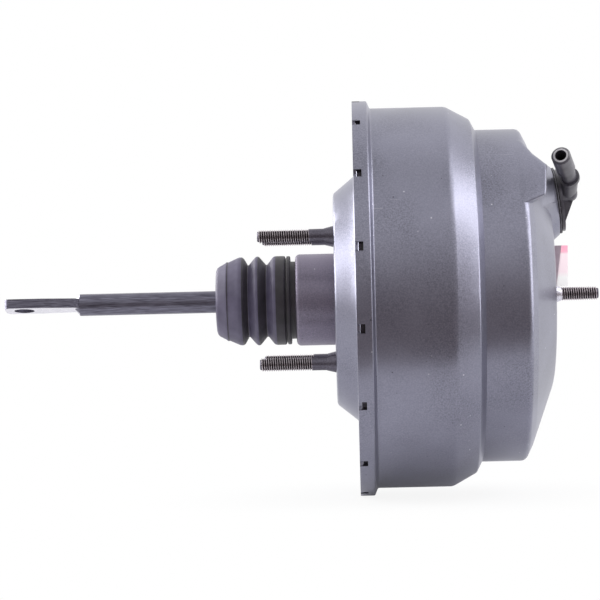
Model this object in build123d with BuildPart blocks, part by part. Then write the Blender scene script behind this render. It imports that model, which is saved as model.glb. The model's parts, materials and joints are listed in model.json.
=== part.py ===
from build123d import *
import os
from math import atan2, cos, degrees, pi, radians, sin

# Tandem vacuum brake booster, in millimetres.
#
# +X is the booster's axis, from the pedal rod towards the master cylinder, and +Z is up. X = 0 is
# the face that bolts to the firewall. Sections are drawn as (x, radius) points and turned about X.

# ---- Clearances ------------------------------------------------------------------------------
RUN_GAP = 0.05  # radial, of a sliding or turning fit
SEAT_GAP = 0.3  # between a soft or loosely seated piece and what carries it
FACE_GAP = 0.1  # between faces that press together in use
STROKE = 35.0  # travel of the power piston
VALVE_LEAD = 2.5  # travel of the plunger inside the power piston

# ---- Front shell: two drums, a cone and a flat nose -------------------------------------------
SHELL_WALL = 2.0
LARGE_RADIUS = 137.7
SKIRT_RADIUS = LARGE_RADIUS + 5.4
SMALL_RADIUS = LARGE_RADIUS - 17.4
SKIRT_X = 15.2  # free edge of the skirt that wraps the rear shell
SKIRT_LENGTH = 10.4
SKIRT_STEP = 2.2  # axial length of the step from the skirt down to the large drum
LARGE_LENGTH = 54.1
SHOULDER_LENGTH = 17.1  # gentle cone that ends the large drum
SHOULDER_DROP = 9.4
LEDGE_LENGTH = 4.2  # steep cone from the shoulder to the small drum
SMALL_LENGTH = 31.2
BROW_LENGTH = 5.0  # steeper start of the nose cone
BROW_DROP = 10.1
NOSE_DEPTH = 16.6  # axial length of the nose cone
NOSE_RADIUS = 65.0  # where the nose cone meets the flat face
PILOT_RADIUS = 22.0  # recess that takes the master cylinder's spigot
PILOT_DEPTH = 12.0
PILOT_HOLE_RADIUS = 10.0
SHELL_CORNERS = [0, 1.5, 1.5, 9.0, 3.0, 0, 5.0, 12.0, 30.0, 0, 0]  # from the skirt to the nose

LANCE_COUNT = 16
LANCE_WIDTH = 6.4
LANCE_SLOT = 3.6  # length of the window behind a lance
LANCE_DEPTH = 2.6  # how far a lance is pressed inwards
LANCE_LAP = 0.3  # of a lance into the skirt beside its window
LANCE_TAPER = 1.4  # how much narrower its outer face is, on each side
LANCE_ANGLE = 8.2  # of the lance below the horizontal, on the -Y side

# ---- Rear shell ----------------------------------------------------------------------------
REAR_WALL = 2.2
REAR_FACE_RADIUS = 76.4
REAR_CONE_RADIUS = 89.1
REAR_CONE_DEPTH = 15.6
HUB_RADIUS = 33.2
HUB_LENGTH = 28.4
HUB_MOUTH_RADIUS = 28.4
HUB_CORNER = 3.0
FACE_CORNER = 3.5
RIM_LIP = 6.0  # flat edge that the lances hold
RIM_SLOPE = 3.0

# ---- Studs and the plates that carry them -----------------------------------------------------
STUD_RADIUS = 4.7625  # 3/8 inch
STUD_HOLE_GAP = 0.15
STUD_HEAD_RADIUS = 7.5
STUD_HEAD_THICKNESS = 2.6
FIREWALL_STUD_Y = 100.0
FIREWALL_STUD_Z = 90.7
FIREWALL_STUD_LENGTH = 54.0
STUD_COLLAR_RADIUS = 6.5
STUD_COLLAR_LENGTH = 7.0
STUD_CHAMFER = 1.2
CYLINDER_STUD_SPACING = 82.0
CYLINDER_STUD_LENGTH = 31.0
CYLINDER_COLLAR_LENGTH = 4.5
PLATE_THICKNESS = 3.0
REAR_PLATE_HOLE_RADIUS = 37.0
STUD_PLATE_INSET = 2.4
FRONT_PLATE_WIDTH = 108.0
FRONT_PLATE_HEIGHT = 76.0
FRONT_PLATE_CORNER = 20.0

# ---- Power piston -------------------------------------------------------------------------
TAIL_RADIUS = 21.5
TAIL_END_X = -83.4
TAIL_COLLAR_RADIUS = 22.3
TAIL_COLLAR_LENGTH = 4.0
TAIL_BORE_RADIUS = 18.0
POPPET_BORE_RADIUS = 15.0
POPPET_SHOULDER_X = -30.0
SEAT_X = -8.6  # fixed valve seat
SEAT_RADIUS = 11.2
SEAT_LIP = 1.4
SEAT_HEIGHT = 2.0
PLUNGER_RADIUS = 8.95
REACTION_X = 30.0  # rear face of the reaction disc
REACTION_RADIUS = 16.0
REACTION_THICKNESS = 8.0
FLANGE_X = 14.0
FLANGE_RADIUS = 34.0
FLANGE_THICKNESS = 4.0
BEAD_SEAT_RADIUS = 26.0
BEAD_SEAT_LENGTH = 4.0
TUBE_RADIUS = 24.0
TUBE_END_X = 80.0
PASSAGE_RADIUS = 2.6
PASSAGE_COUNT = 4
PASSAGE_ANGLE = 45
PASSAGE_STOP = 3.0  # short of the reaction disc
OUTLET_X = 5.0  # of the outlets' axes, behind the reaction disc
OUTLET_ROOT = 12.5
OUTLET_RADIUS = 1.6

# ---- Stop key ------------------------------------------------------------------------------
KEY_X = 4.0
KEY_THICKNESS = 2.5
KEY_WIDTH = 17.0
KEY_REACH = 27.0
KEY_RISE = 3.0  # of the key's closed end above the axis
PLUNGER_NECK_RADIUS = 5.6

# ---- Plunger and pedal rod ---------------------------------------------------------------------
BALL_X = -3.0
BALL_RADIUS = 6.0
PLUNGER_REAR_X = -9.0
PLUNGER_MOUTH_RADIUS = 5.3
PLUNGER_MOUTH_FLARE = 0.5
PLUNGER_NOSE_LENGTH = 6.0
PLUNGER_NOSE_RADIUS = 6.0
PLUNGER_NOSE_GAP = 0.8  # left at the reaction disc when the valve is fully open
ROD_RADIUS = 7.94  # 5/8 inch
ROD_NECK_RADIUS = 4.4
ROD_WAIST_RADIUS = 6.0
ROD_NECK_X = -13.0
ROD_NECK_TAPER = 3.0
ROD_WAIST_X = -38.0
ROD_TAPER = 5.0
ROD_SHOULDER_X = -186.0
ROD_SHOULDER_CONE = 4.0
EYE_END_X = -240.5
EYE_X = -226.8
EYE_RADIUS = 7.4
EYE_WIDTH = 21.5
EYE_WAIST = 17.6
EYE_THICKNESS = 6.9
EYE_ROLL = 11.0  # turn of the flattened end about the rod, in degrees
EYE_CORNER = 4.0
EYE_BLADE = 14.0  # of the full-width part behind the hole's centre
EYE_ROOT = 1.5  # of the flattened end into the round rod
EYE_ROOT_INSET = 1.4
EYE_CORNERS = [0, 3, 12, EYE_CORNER, EYE_CORNER, 12, 3, 0]
SPRING_SEAT_X = -57.0
SPRING_SEAT_RADIUS = 14.6
SPRING_SEAT_THICKNESS = 2.0
CLIP_THICKNESS = 1.2
CLIP_RIM = 2.4
CLIP_GROOVE_DEPTH = 0.9
CLIP_MOUTH = 0.72  # its opening, as a share of the groove's width

# ---- Poppet, filter and silencer -----------------------------------------------------------------
POPPET_FACE_THICKNESS = 3.0
POPPET_FACE_RADIUS = 13.2
POPPET_HOLE_RADIUS = 7.2
POPPET_WALL = 1.2
POPPET_FLANGE = 2.0
RETAINER_THICKNESS = 3.6
RETAINER_HOLE_RADIUS = 8.4
RETAINER_SEAT_DEPTH = 1.6
RETAINER_SEAT_GAP = 0.4
FILTER_HOLE_RADIUS = 12.4
FILTER_LENGTH = 14.0
SILENCER_LENGTH = 6.0

# ---- Hub seal and bearing -----------------------------------------------------------------------
HUB_SEAL_LENGTH = 8.0
HUB_BEARING_LENGTH = 9.0
HUB_RING_THICKNESS = 1.5
HUB_RING_GAP = 1.8  # around the piston's tail
HUB_BEARING_CHAMFER = 0.8
SEAL_LIP = 1.6  # length of each running lip
SEAL_FLARE = 0.8
SEAL_GROOVE = 1.4
HUB_STACK_X = -22.4

# ---- Diaphragms, support plates and the divider ------------------------------------------------
RUBBER = 1.8
LOOP_LENGTH = 11.7  # of the rolling loop, from its support
LOOP_CORNER = 3.4
LOOP_GAP = 0.6  # between a loop and its support's lip
DRUM_GAP = 1.1  # between the rear loop and the drum
PAN_GAP = 5.0  # between the front loop and the divider's pan
INNER_BEAD = 4.0  # depth of a diaphragm's bead on the piston
SUPPORT_WALL = 1.5
BEAD_LENGTH = 5.2
REAR_SUPPORT_RADIUS = LARGE_RADIUS - 16.7
REAR_SUPPORT_LIP = 6.0
FRONT_SUPPORT_DISH = 8.6
FRONT_SUPPORT_LIP = 8.0
DISH_INNER = 11.2  # outside the tube, where the dish starts
DISH_OUTER = 19.4
DIVIDER_WALL = 2.0
DIVIDER_MARGIN = 0.7  # between the divider and the rear support at full stroke
DIVIDER_PAN_RADIUS = LARGE_RADIUS - 24.7
FRONT_SUPPORT_RADIUS = DIVIDER_PAN_RADIUS - 10.0
DIVIDER_SEAT = 1.2  # of its rim behind the end of the large drum
FRONT_BEAD = (10.0, 4.6)  # how far inside the drum the front bead starts and ends
DIVIDER_RIM_LENGTH = 12.0
DIVIDER_COLLAR_LENGTH = 10.0
CENTRE_SEAL_WIDTH = 4.4
CENTRE_SEAL_LENGTH = 6.0

# ---- Output rod ----------------------------------------------------------------------------
OUTPUT_RADIUS = 6.0
OUTPUT_HEAD_THICKNESS = 5.0
OUTPUT_HEAD_TAPER = 2.0
OUTPUT_END_X = 142.0
ADJUSTER_RADIUS = 4.0
ADJUSTER_DEPTH = 12.0  # of the screw in the output rod
ADJUSTER_HOLE_END = 2.0  # of the hole beyond the screw
ADJUSTER_TIP = 2.2
ADJUSTER_HEX = 9.0
ADJUSTER_HEX_THICKNESS = 5.0
ADJUSTER_END_X = 158.5
CUP_WALL = 1.6
CUP_LENGTH = 16.0
CUP_FLANGE_RADIUS = 27.0
FRONT_SEAL_RADIUS = 16.0
FRONT_SEAL_HEIGHT = 2.6
FRONT_SEAL_TAIL = 1.2
FRONT_RING_RADIUS = 9.0
FRONT_RING_THICKNESS = 1.4

# ---- Springs -------------------------------------------------------------------------------
COIL_CHORDS = 14  # to each turn
MAIN_WIRE = 3.6
MAIN_REAR_RADIUS = 22.0
MAIN_FRONT_RADIUS = 29.0
MAIN_TURNS = 5.5
ROD_WIRE = 2.2
ROD_SPRING_RADIUS = 12.6
ROD_TURNS = 5.0
POPPET_WIRE = 1.0
POPPET_SPRING_RADIUS = 9.6
POPPET_TURNS = 4.0

# ---- Dust boot -----------------------------------------------------------------------------
BOOT_WALL = 2.0
BOOT_END_X = -86.0
BOOT_END_RADIUS = 24.75
BOOT_HOLE_RADIUS = 12.0
BOOT_NECK_WALL = 2.4
BOOT_BEAD = 1.9
BOOT_BEAD_LENGTH = 2.4
BOOT_END_CORNER = 2.4
# (x, radius) along the outside, from the small end to the last ring
BOOT_FOLDS = [
    (-70.5, 31.6), (-66.5, 32.0), (-64.2, 26.0), (-60.4, 26.0), (-57.6, 32.3), (-53.6, 32.3),
    (-51.0, 26.0), (-47.4, 26.0), (-45.4, 32.2), (-36.2, 32.2), (-35.5, 30.6), (-34.9, 32.0), (-32.2, 32.0),
]
BOOT_FOLD_RADII = [2.2, 1.6, 0, 0, 1.8, 1.8, 0, 0, 1.4, 0, 0, 0, 0]

# ---- Check valve on the nose --------------------------------------------------------------------
BOSS_RADIUS = 25.0
BOSS_RISE = 4.8  # of the pad's centre in front of the flat face
BOSS_Z = 67.6
BOSS_TILT = 7.0
FAN_X = 4.4  # how far inside the small drum the fan starts
FAN_TOP_Z = 109.5
FAN_CORNER = (112.0, 58.0)
FAN_HIP = (40.0, 34.0)
FAN_BOTTOM_Z = 13.0
STEM_RADIUS = 9.5
STEM_DEPTH = 11.0
GROMMET_WALL = 2.4
GROMMET_RADIUS = 24.0
GROMMET_LIP = 2.0
GROMMET_TAIL = 2.2
GROMMET_BULGE = 2.4  # of the tail, outside the hole
VALVE_PLATE_RADIUS = 22.6
VALVE_PLATE_THICKNESS = 2.2
CHAMBER_RADIUS = 7.3
PORT_RADIUS = 4.0
PORT_FLOOR = 2.0
CHAMBER_ROOF = 1.0
DISC_THICKNESS = 1.4
DISC_GAP = 0.5  # around the disc
VALVE_WIRE = 0.7
VALVE_SPRING_RADIUS = 4.6
VALVE_TURNS = 3.0
LEG_RADIUS = 7.2
LEG_OFFSET = 5.2  # of the leg's axis above the pad's
LEG_HEIGHT = 12.6  # above the valve's plate
LEG_DOME = 5.0
ELBOW_RISE = 5.8  # of the arm's axis above the valve's plate
ARM_SPAN = (-0.2, -18.0, 9.5)  # from the leg's axis to the collar
ARM_RADIUS = 6.7
NIPPLE_SPAN = (-8.4, -32.0, 14.3)  # from the collar to the mouth
NIPPLE_RADIUS = 6.9
NIPPLE_NECK_RADIUS = 5.7
NIPPLE_BORE_RADIUS = 4.0
NIPPLE_BEAD_LENGTH = 22.0
NIPPLE_CHAMFER = 1.0
COLLAR_RADIUS = 7.6
COLLAR_LENGTH = 3.0
RIB_THICKNESS = 3.0
RIB_REACH = 16.0
RIB_HEIGHT = 8.5
LEG_PORT_OFFSET = 3.2  # of the port's axis above the pad's
ROOT = 0.5  # how far joined pieces of the valve go into each other

# ---- Paper tag, stuck under the pad ------------------------------------------------------------
TAG_THICKNESS = 0.5
TAG_Y = -8.0
TAG_BACK_X = 2.2  # of its back edge in front of the flat face
TAG_FOLD_X = 5.9  # of the fold's top in front of the flat face
TAG_FOLD_LEAN = 2.9  # how much nearer the fold is at the bottom
TAG_TOP_Z = 35.0
TAG_BOTTOM_Z = 5.5
TAG_TAB_WIDTH = 1.8
TAG_TAB_RISE = 3.4
TAG_FLAP = 4.8
TAG_TURN = 3.4  # how far the flap's free edge stands back

os.makedirs("parts", exist_ok=True)


def turn(points, radius=0.0, mode=Mode.ADD):
    """Turn a closed outline of (x, radius) points about the booster's axis."""
    with BuildSketch(Plane.XZ) as section:
        with BuildLine():
            FilletPolyline(*points, radius=radius, close=True)
        make_face()
    revolve(section.sketch, axis=Axis.X, mode=mode)


def turn_sheet(points, radii, wall, mode=Mode.ADD):
    """Turn a line of (x, radius) points about the axis, with its wall on the right of the way along it."""
    spots = [Vector(*p) for p in points]
    ways = [(b - a).normalized() for a, b in zip(spots, spots[1:])]
    rights = [Vector(way.Y, -way.X) for way in ways]
    far_side = [spots[0] + rights[0] * wall]
    far_radii = []
    for spot, a, b, radius in zip(spots[1:], rights, rights[1:], radii):
        far_side.append(spot + (a + b) * (wall / (1 + a.dot(b))))
        grow = -wall if a.cross(b).Z < 0 else wall
        # a tight bend is left square on the far side
        far_radii.append(radius + grow if radius > 2 * wall else 0)
    far_side.append(spots[-1] + rights[-1] * wall)
    outline = [(p.X, p.Y) for p in spots + far_side[::-1]]
    turn(outline, [0, *radii, 0, 0, *far_radii[::-1], 0], mode=mode)


def ring(start, end, inner, outer, mode=Mode.ADD):
    """A plain ring between two stations on the axis."""
    turn([(start, inner), (end, inner), (end, outer), (start, outer)], mode=mode)


def coil(base, height, radii, wire, turns):
    """A coil spring along base's normal that just reaches both ends, of straight chords with six sides."""
    count = round(turns * COIL_CHORDS)
    middle = [wire / 2 + (height - wire) * k / count for k in range(count + 1)]
    spread = [radii[0] + (radii[1] - radii[0]) * k / count for k in range(count + 1)]
    turned = [2 * pi * turns * k / count for k in range(count + 1)]
    spots = [
        base.from_local_coords(Vector(r * cos(a), r * sin(a), z)) for r, a, z in zip(spread, turned, middle)
    ]
    with BuildLine() as path:
        Polyline(*spots)
    start = Plane(origin=spots[0], x_dir=base.z_dir, z_dir=spots[1] - spots[0])
    with BuildSketch(start) as section:
        RegularPolygon(wire / 2, 6)
    sweep(section.sketch, path=path.line, transition=Transition.RIGHT)


def lip_seal(start, end, inner, outer):
    """A seal ring with a running lip at each end of its bore."""
    groove = inner + SEAL_GROOVE
    turn([
        (start, inner), (start + SEAL_LIP, inner), (start + SEAL_LIP + SEAL_FLARE, groove),
        (end - SEAL_LIP - SEAL_FLARE, groove), (end - SEAL_LIP, inner), (end, inner),
        (end, outer), (start, outer),
    ])


def save(builder, name):
    """Label a finished piece and write its STEP file."""
    builder.part.label = name
    export_step(builder.part, f"parts/{name}.step")


# ---- Stations that follow from the sizes above -----------------------------------------------------
step_x = SKIRT_X + SKIRT_LENGTH
large_x = step_x + SKIRT_STEP
shoulder_x = large_x + LARGE_LENGTH
ledge_x = shoulder_x + SHOULDER_LENGTH
small_x = ledge_x + LEDGE_LENGTH
brow_x = small_x + SMALL_LENGTH
cone_x = brow_x + BROW_LENGTH
front_x = cone_x + NOSE_DEPTH
inside_x = front_x - SHELL_WALL  # inner face of the nose
large_inside = LARGE_RADIUS - SHELL_WALL


def shell_line(grow, end_radius):
    """The front shell's outline from the skirt to the nose, moved inwards by grow."""
    return [
        (SKIRT_X, SKIRT_RADIUS - grow),
        (step_x - grow, SKIRT_RADIUS - grow),
        (large_x - grow, LARGE_RADIUS - grow),
        (shoulder_x - 0.25 * grow, LARGE_RADIUS - grow),
        (ledge_x - 0.6 * grow, LARGE_RADIUS - SHOULDER_DROP - 0.9 * grow),
        (small_x - 0.5 * grow, SMALL_RADIUS - grow),
        (brow_x - 0.5 * grow, SMALL_RADIUS - grow),
        (cone_x - 0.9 * grow, SMALL_RADIUS - BROW_DROP - 0.6 * grow),
        (front_x - grow, NOSE_RADIUS),
        (front_x - grow, end_radius),
    ]



def boss(inset):
    """The fan-shaped embossing under the check valve, drawn smaller by inset all round."""
    fan_plane = Plane(origin=(brow_x - FAN_X - inset, 0, 0), x_dir=(0, 1, 0), z_dir=(1, 0, 0))
    with BuildPart() as pad:
        with BuildSketch(fan_plane):
            with BuildLine():
                corner = (FAN_CORNER[0] - 2 * inset, FAN_CORNER[1] + 0.3 * inset)
                hip = (FAN_HIP[0] - 0.5 * inset, FAN_HIP[1] + inset)
                other_hip, other_corner = (-hip[0], hip[1]), (-corner[0], corner[1])
                ThreePointArc(other_corner, (0, FAN_TOP_Z - inset), corner)
                Line(corner, hip)
                ThreePointArc(hip, (0, FAN_BOTTOM_Z + inset), other_hip)
                Line(other_hip, other_corner)
            make_face()
        with BuildSketch(valve_plane.offset(-inset)):
            Circle(BOSS_RADIUS - 0.8 * inset)
        loft()
    with BuildPart() as drum:
        ring(brow_x - 2 * FAN_X, front_x + 4 * BOSS_RISE, 0, SMALL_RADIUS - inset)
    return pad.part & drum.part


valve_plane = Plane(
    origin=(front_x + BOSS_RISE, 0, BOSS_Z),
    x_dir=(0, 1, 0),
    z_dir=(cos(radians(BOSS_TILT)), 0, sin(radians(BOSS_TILT))),
)

# ---- Front shell -----------------------------------------------------------------------------
lance_end = SKIRT_X + SHELL_WALL - FACE_GAP
pilot_floor = front_x - PILOT_DEPTH
with BuildPart() as front_shell:
    turn(shell_line(0, 0) + [(SKIRT_X, 0)], SHELL_CORNERS)
    add(boss(0))
    turn(shell_line(SHELL_WALL, 0) + [(SKIRT_X, 0)], mode=Mode.SUBTRACT)
    add(boss(SHELL_WALL), mode=Mode.SUBTRACT)
    # recess for the master cylinder's spigot
    ring(pilot_floor - SHELL_WALL, front_x, 0, PILOT_RADIUS + SHELL_WALL)
    ring(pilot_floor, front_x, 0, PILOT_RADIUS, mode=Mode.SUBTRACT)
    ring(pilot_floor - SHELL_WALL, pilot_floor, 0, PILOT_HOLE_RADIUS, mode=Mode.SUBTRACT)
    # holes for the studs and the grommet
    with BuildSketch(Plane.YZ.offset(inside_x)):
        with GridLocations(CYLINDER_STUD_SPACING, 0, 2, 1):
            Circle(STUD_COLLAR_RADIUS + STUD_HOLE_GAP)
    extrude(amount=SHELL_WALL, mode=Mode.SUBTRACT)
    with BuildSketch(valve_plane):
        Circle(STEM_RADIUS + GROMMET_WALL + SEAT_GAP)
    extrude(amount=-2 * STEM_DEPTH, mode=Mode.SUBTRACT)
    # lances: windows in the skirt, with the strip behind each pressed in over the rear shell's rim
    with BuildSketch(Plane.YZ.offset(SKIRT_X)):
        with PolarLocations(SKIRT_RADIUS, LANCE_COUNT, start_angle=180 + LANCE_ANGLE):
            Rectangle(4 * SHELL_WALL, LANCE_WIDTH)
    extrude(amount=lance_end - SKIRT_X + LANCE_SLOT, mode=Mode.SUBTRACT)
    root = LANCE_WIDTH / 2 + LANCE_LAP
    inner = LANCE_WIDTH / 2 - LANCE_TAPER / 2
    outer = LANCE_WIDTH / 2 - LANCE_TAPER
    with BuildSketch(Plane.YZ.offset(SKIRT_X)):
        with PolarLocations(SKIRT_RADIUS, LANCE_COUNT, start_angle=180 + LANCE_ANGLE):
            Polygon(
                (-LANCE_LAP, -root),
                (-LANCE_DEPTH, -outer),
                (-LANCE_DEPTH, outer),
                (-LANCE_LAP, root),
                (LANCE_LAP - SHELL_WALL, root),
                (-LANCE_DEPTH - SHELL_WALL, inner),
                (-LANCE_DEPTH - SHELL_WALL, -inner),
                (LANCE_LAP - SHELL_WALL, -root),
                align=None,
            )
    extrude(amount=lance_end - SKIRT_X)
save(front_shell, "front_shell")

# ---- Rear shell ------------------------------------------------------------------------------
rim_rear_x = lance_end + SEAT_GAP
rim_radius = SKIRT_RADIUS - SHELL_WALL - SEAT_GAP
rim_front_x = rim_rear_x + REAR_WALL
hub_inside = HUB_RADIUS - REAR_WALL
with BuildPart() as rear_shell:
    turn_sheet(
        [
            (-HUB_LENGTH, HUB_MOUTH_RADIUS),
            (-HUB_LENGTH, HUB_RADIUS),
            (0, HUB_RADIUS),
            (0, REAR_FACE_RADIUS),
            (REAR_CONE_DEPTH, REAR_CONE_RADIUS),
            (REAR_CONE_DEPTH, rim_radius - RIM_LIP - RIM_SLOPE),
            (rim_rear_x, rim_radius - RIM_LIP),
            (rim_rear_x, rim_radius),
        ],
        [HUB_CORNER, 0, FACE_CORNER, FACE_CORNER, 0, 0],
        REAR_WALL,
    )
    with BuildSketch(Plane.YZ):
        with GridLocations(FIREWALL_STUD_Y, FIREWALL_STUD_Z, 2, 2):
            Circle(STUD_COLLAR_RADIUS + STUD_HOLE_GAP)
    extrude(amount=REAR_WALL, mode=Mode.SUBTRACT)
save(rear_shell, "rear_shell")

# ---- Studs and their plates ------------------------------------------------------------------------
def studs(layout, shell_x, plate_x, length, collar_length):
    """Studs that stand out of a shell: a head behind the plate, and a collar that fills the shell's hole.

    layout is the (y, z) spacing and (y, z) counts. shell_x is the shell's outer face, and plate_x is
    the face of the plate that the heads bear on.
    """
    way = 1 if shell_x > plate_x else -1
    sides = [
        (plate_x, STUD_HEAD_RADIUS, -way * STUD_HEAD_THICKNESS),
        (plate_x, STUD_RADIUS, shell_x - plate_x + way * length),
        (plate_x + way * PLATE_THICKNESS, STUD_COLLAR_RADIUS, shell_x - plate_x - way * PLATE_THICKNESS),
    ]
    with BuildPart() as made:
        for start, radius, reach in sides:
            with BuildSketch(Plane.YZ.offset(start)) as section:
                with GridLocations(*layout):
                    Circle(radius)
            extrude(section.sketch, amount=reach)
        tip = shell_x + way * length
        ends = [face for face in made.faces().filter_by(Plane.YZ) if abs(face.center().X - tip) < FACE_GAP]
        chamfer([edge for face in ends for edge in face.edges()], STUD_CHAMFER)
        with BuildSketch(Plane.YZ.offset(shell_x)) as section:
            with GridLocations(*layout):
                Circle(STUD_COLLAR_RADIUS)
        taper = degrees(atan2(STUD_COLLAR_RADIUS - STUD_RADIUS, collar_length))
        extrude(section.sketch, amount=way * collar_length, taper=taper)
    return made


firewall_layout = (FIREWALL_STUD_Y, FIREWALL_STUD_Z, 2, 2)
with BuildPart() as stud_plate:
    with BuildSketch(Plane.YZ.offset(REAR_WALL)):
        Circle(REAR_FACE_RADIUS - STUD_PLATE_INSET)
        Circle(REAR_PLATE_HOLE_RADIUS, mode=Mode.SUBTRACT)
        with GridLocations(*firewall_layout):
            Circle(STUD_RADIUS + STUD_HOLE_GAP, mode=Mode.SUBTRACT)
    extrude(amount=PLATE_THICKNESS)
save(stud_plate, "stud_plate")

firewall_studs = studs(
    firewall_layout, 0, REAR_WALL + PLATE_THICKNESS, FIREWALL_STUD_LENGTH, STUD_COLLAR_LENGTH
)
save(firewall_studs, "firewall_studs")

cylinder_layout = (CYLINDER_STUD_SPACING, 0, 2, 1)
front_plate_x = inside_x - PLATE_THICKNESS
with BuildPart() as nose_plate:
    with BuildSketch(Plane.YZ.offset(front_plate_x)):
        RectangleRounded(FRONT_PLATE_WIDTH, FRONT_PLATE_HEIGHT, FRONT_PLATE_CORNER)
        Circle(PILOT_RADIUS + SHELL_WALL + SEAT_GAP, mode=Mode.SUBTRACT)
        with GridLocations(*cylinder_layout):
            Circle(STUD_RADIUS + STUD_HOLE_GAP, mode=Mode.SUBTRACT)
    extrude(amount=PLATE_THICKNESS)
save(nose_plate, "nose_plate")

cylinder_studs = studs(
    cylinder_layout, front_x, front_plate_x, CYLINDER_STUD_LENGTH, CYLINDER_COLLAR_LENGTH
)
save(cylinder_studs, "cylinder_studs")

# ---- Hub: seal, bearing and the ring that stops the key -----------------------------------------------
seal_end = HUB_STACK_X + HUB_SEAL_LENGTH
bearing_x = seal_end + SEAT_GAP
bearing_end = bearing_x + HUB_BEARING_LENGTH
ring_outer = hub_inside - SEAT_GAP
with BuildPart() as hub_seal:
    lip_seal(HUB_STACK_X, seal_end, TAIL_RADIUS + RUN_GAP, ring_outer)
save(hub_seal, "hub_seal")

with BuildPart() as hub_bearing:
    ring(bearing_x, bearing_end, TAIL_RADIUS + RUN_GAP, ring_outer)
    chamfer(hub_bearing.edges().filter_by(GeomType.CIRCLE), HUB_BEARING_CHAMFER)
save(hub_bearing, "hub_bearing")

stop_x = KEY_X - SEAT_GAP
with BuildPart() as key_stop_ring:
    turn([
        (bearing_end + SEAT_GAP, ring_outer - HUB_RING_THICKNESS),
        (stop_x - HUB_RING_THICKNESS, ring_outer - HUB_RING_THICKNESS),
        (stop_x - HUB_RING_THICKNESS, TAIL_RADIUS + HUB_RING_GAP),
        (stop_x, TAIL_RADIUS + HUB_RING_GAP),
        (stop_x, ring_outer),
        (bearing_end + SEAT_GAP, ring_outer),
    ])
save(key_stop_ring, "key_stop_ring")

# ---- Power piston ----------------------------------------------------------------------------
flange_end = FLANGE_X + FLANGE_THICKNESS
bead_end = flange_end + BEAD_SEAT_LENGTH
plunger_bore = PLUNGER_RADIUS + RUN_GAP
chamber_wall_x = SEAT_X + SEAT_HEIGHT
key_slot = KEY_WIDTH + 2 * SEAT_GAP
with BuildPart() as power_piston:
    turn([
        (TAIL_END_X, TAIL_BORE_RADIUS),
        (TAIL_END_X, TAIL_COLLAR_RADIUS),
        (TAIL_END_X + TAIL_COLLAR_LENGTH, TAIL_COLLAR_RADIUS),
        (TAIL_END_X + TAIL_COLLAR_LENGTH, TAIL_RADIUS),
        (FLANGE_X, TAIL_RADIUS),
        (FLANGE_X, FLANGE_RADIUS),
        (flange_end, FLANGE_RADIUS),
        (flange_end, BEAD_SEAT_RADIUS),
        (bead_end, BEAD_SEAT_RADIUS),
        (bead_end, TUBE_RADIUS),
        (TUBE_END_X, TUBE_RADIUS),
        (TUBE_END_X, REACTION_RADIUS),
        (REACTION_X, REACTION_RADIUS),
        (REACTION_X, plunger_bore),
        (chamber_wall_x, plunger_bore),
        (chamber_wall_x, SEAT_RADIUS),
        (SEAT_X, SEAT_RADIUS),
        (SEAT_X, SEAT_RADIUS + SEAT_LIP),
        (chamber_wall_x, SEAT_RADIUS + SEAT_LIP),
        (chamber_wall_x, POPPET_BORE_RADIUS),
        (POPPET_SHOULDER_X, POPPET_BORE_RADIUS),
        (POPPET_SHOULDER_X, TAIL_BORE_RADIUS),
    ])
    # slot for the key, from the plunger's bore to the outside
    with BuildSketch(Plane.YZ.offset(KEY_X - SEAT_GAP)):
        with Locations((0, KEY_RISE + SEAT_GAP)):
            Rectangle(key_slot, KEY_REACH, align=(Align.CENTER, Align.MAX))
    extrude(amount=KEY_THICKNESS + 2 * SEAT_GAP, mode=Mode.SUBTRACT)
    # vacuum passages: along the wall, then out through the tube
    with BuildSketch(Plane.YZ.offset(chamber_wall_x)):
        with PolarLocations((POPPET_BORE_RADIUS + SEAT_RADIUS + SEAT_LIP) / 2, PASSAGE_COUNT, start_angle=PASSAGE_ANGLE):
            Circle(PASSAGE_RADIUS)
    extrude(amount=REACTION_X - PASSAGE_STOP - chamber_wall_x, mode=Mode.SUBTRACT)
    for k in range(PASSAGE_COUNT):
        angle = PASSAGE_ANGLE + k * 360 / PASSAGE_COUNT
        out = Vector(0, cos(radians(angle)), sin(radians(angle)))
        with BuildSketch(Plane(origin=Vector(REACTION_X - OUTLET_X, 0, 0) + out * OUTLET_ROOT, z_dir=out)):
            Circle(OUTLET_RADIUS)
        extrude(amount=TUBE_RADIUS, mode=Mode.SUBTRACT)
save(power_piston, "power_piston")

neck_clear = PLUNGER_NECK_RADIUS + SEAT_GAP
with BuildPart() as stop_key:
    with BuildSketch(Plane.YZ.offset(KEY_X)):
        with Locations((0, KEY_RISE)):
            Rectangle(KEY_WIDTH, KEY_REACH + KEY_RISE, align=(Align.CENTER, Align.MAX))
        Circle(neck_clear, mode=Mode.SUBTRACT)
        Rectangle(2 * neck_clear, KEY_REACH, align=(Align.CENTER, Align.MIN), mode=Mode.SUBTRACT)
    extrude(amount=KEY_THICKNESS)
save(stop_key, "stop_key")

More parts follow.
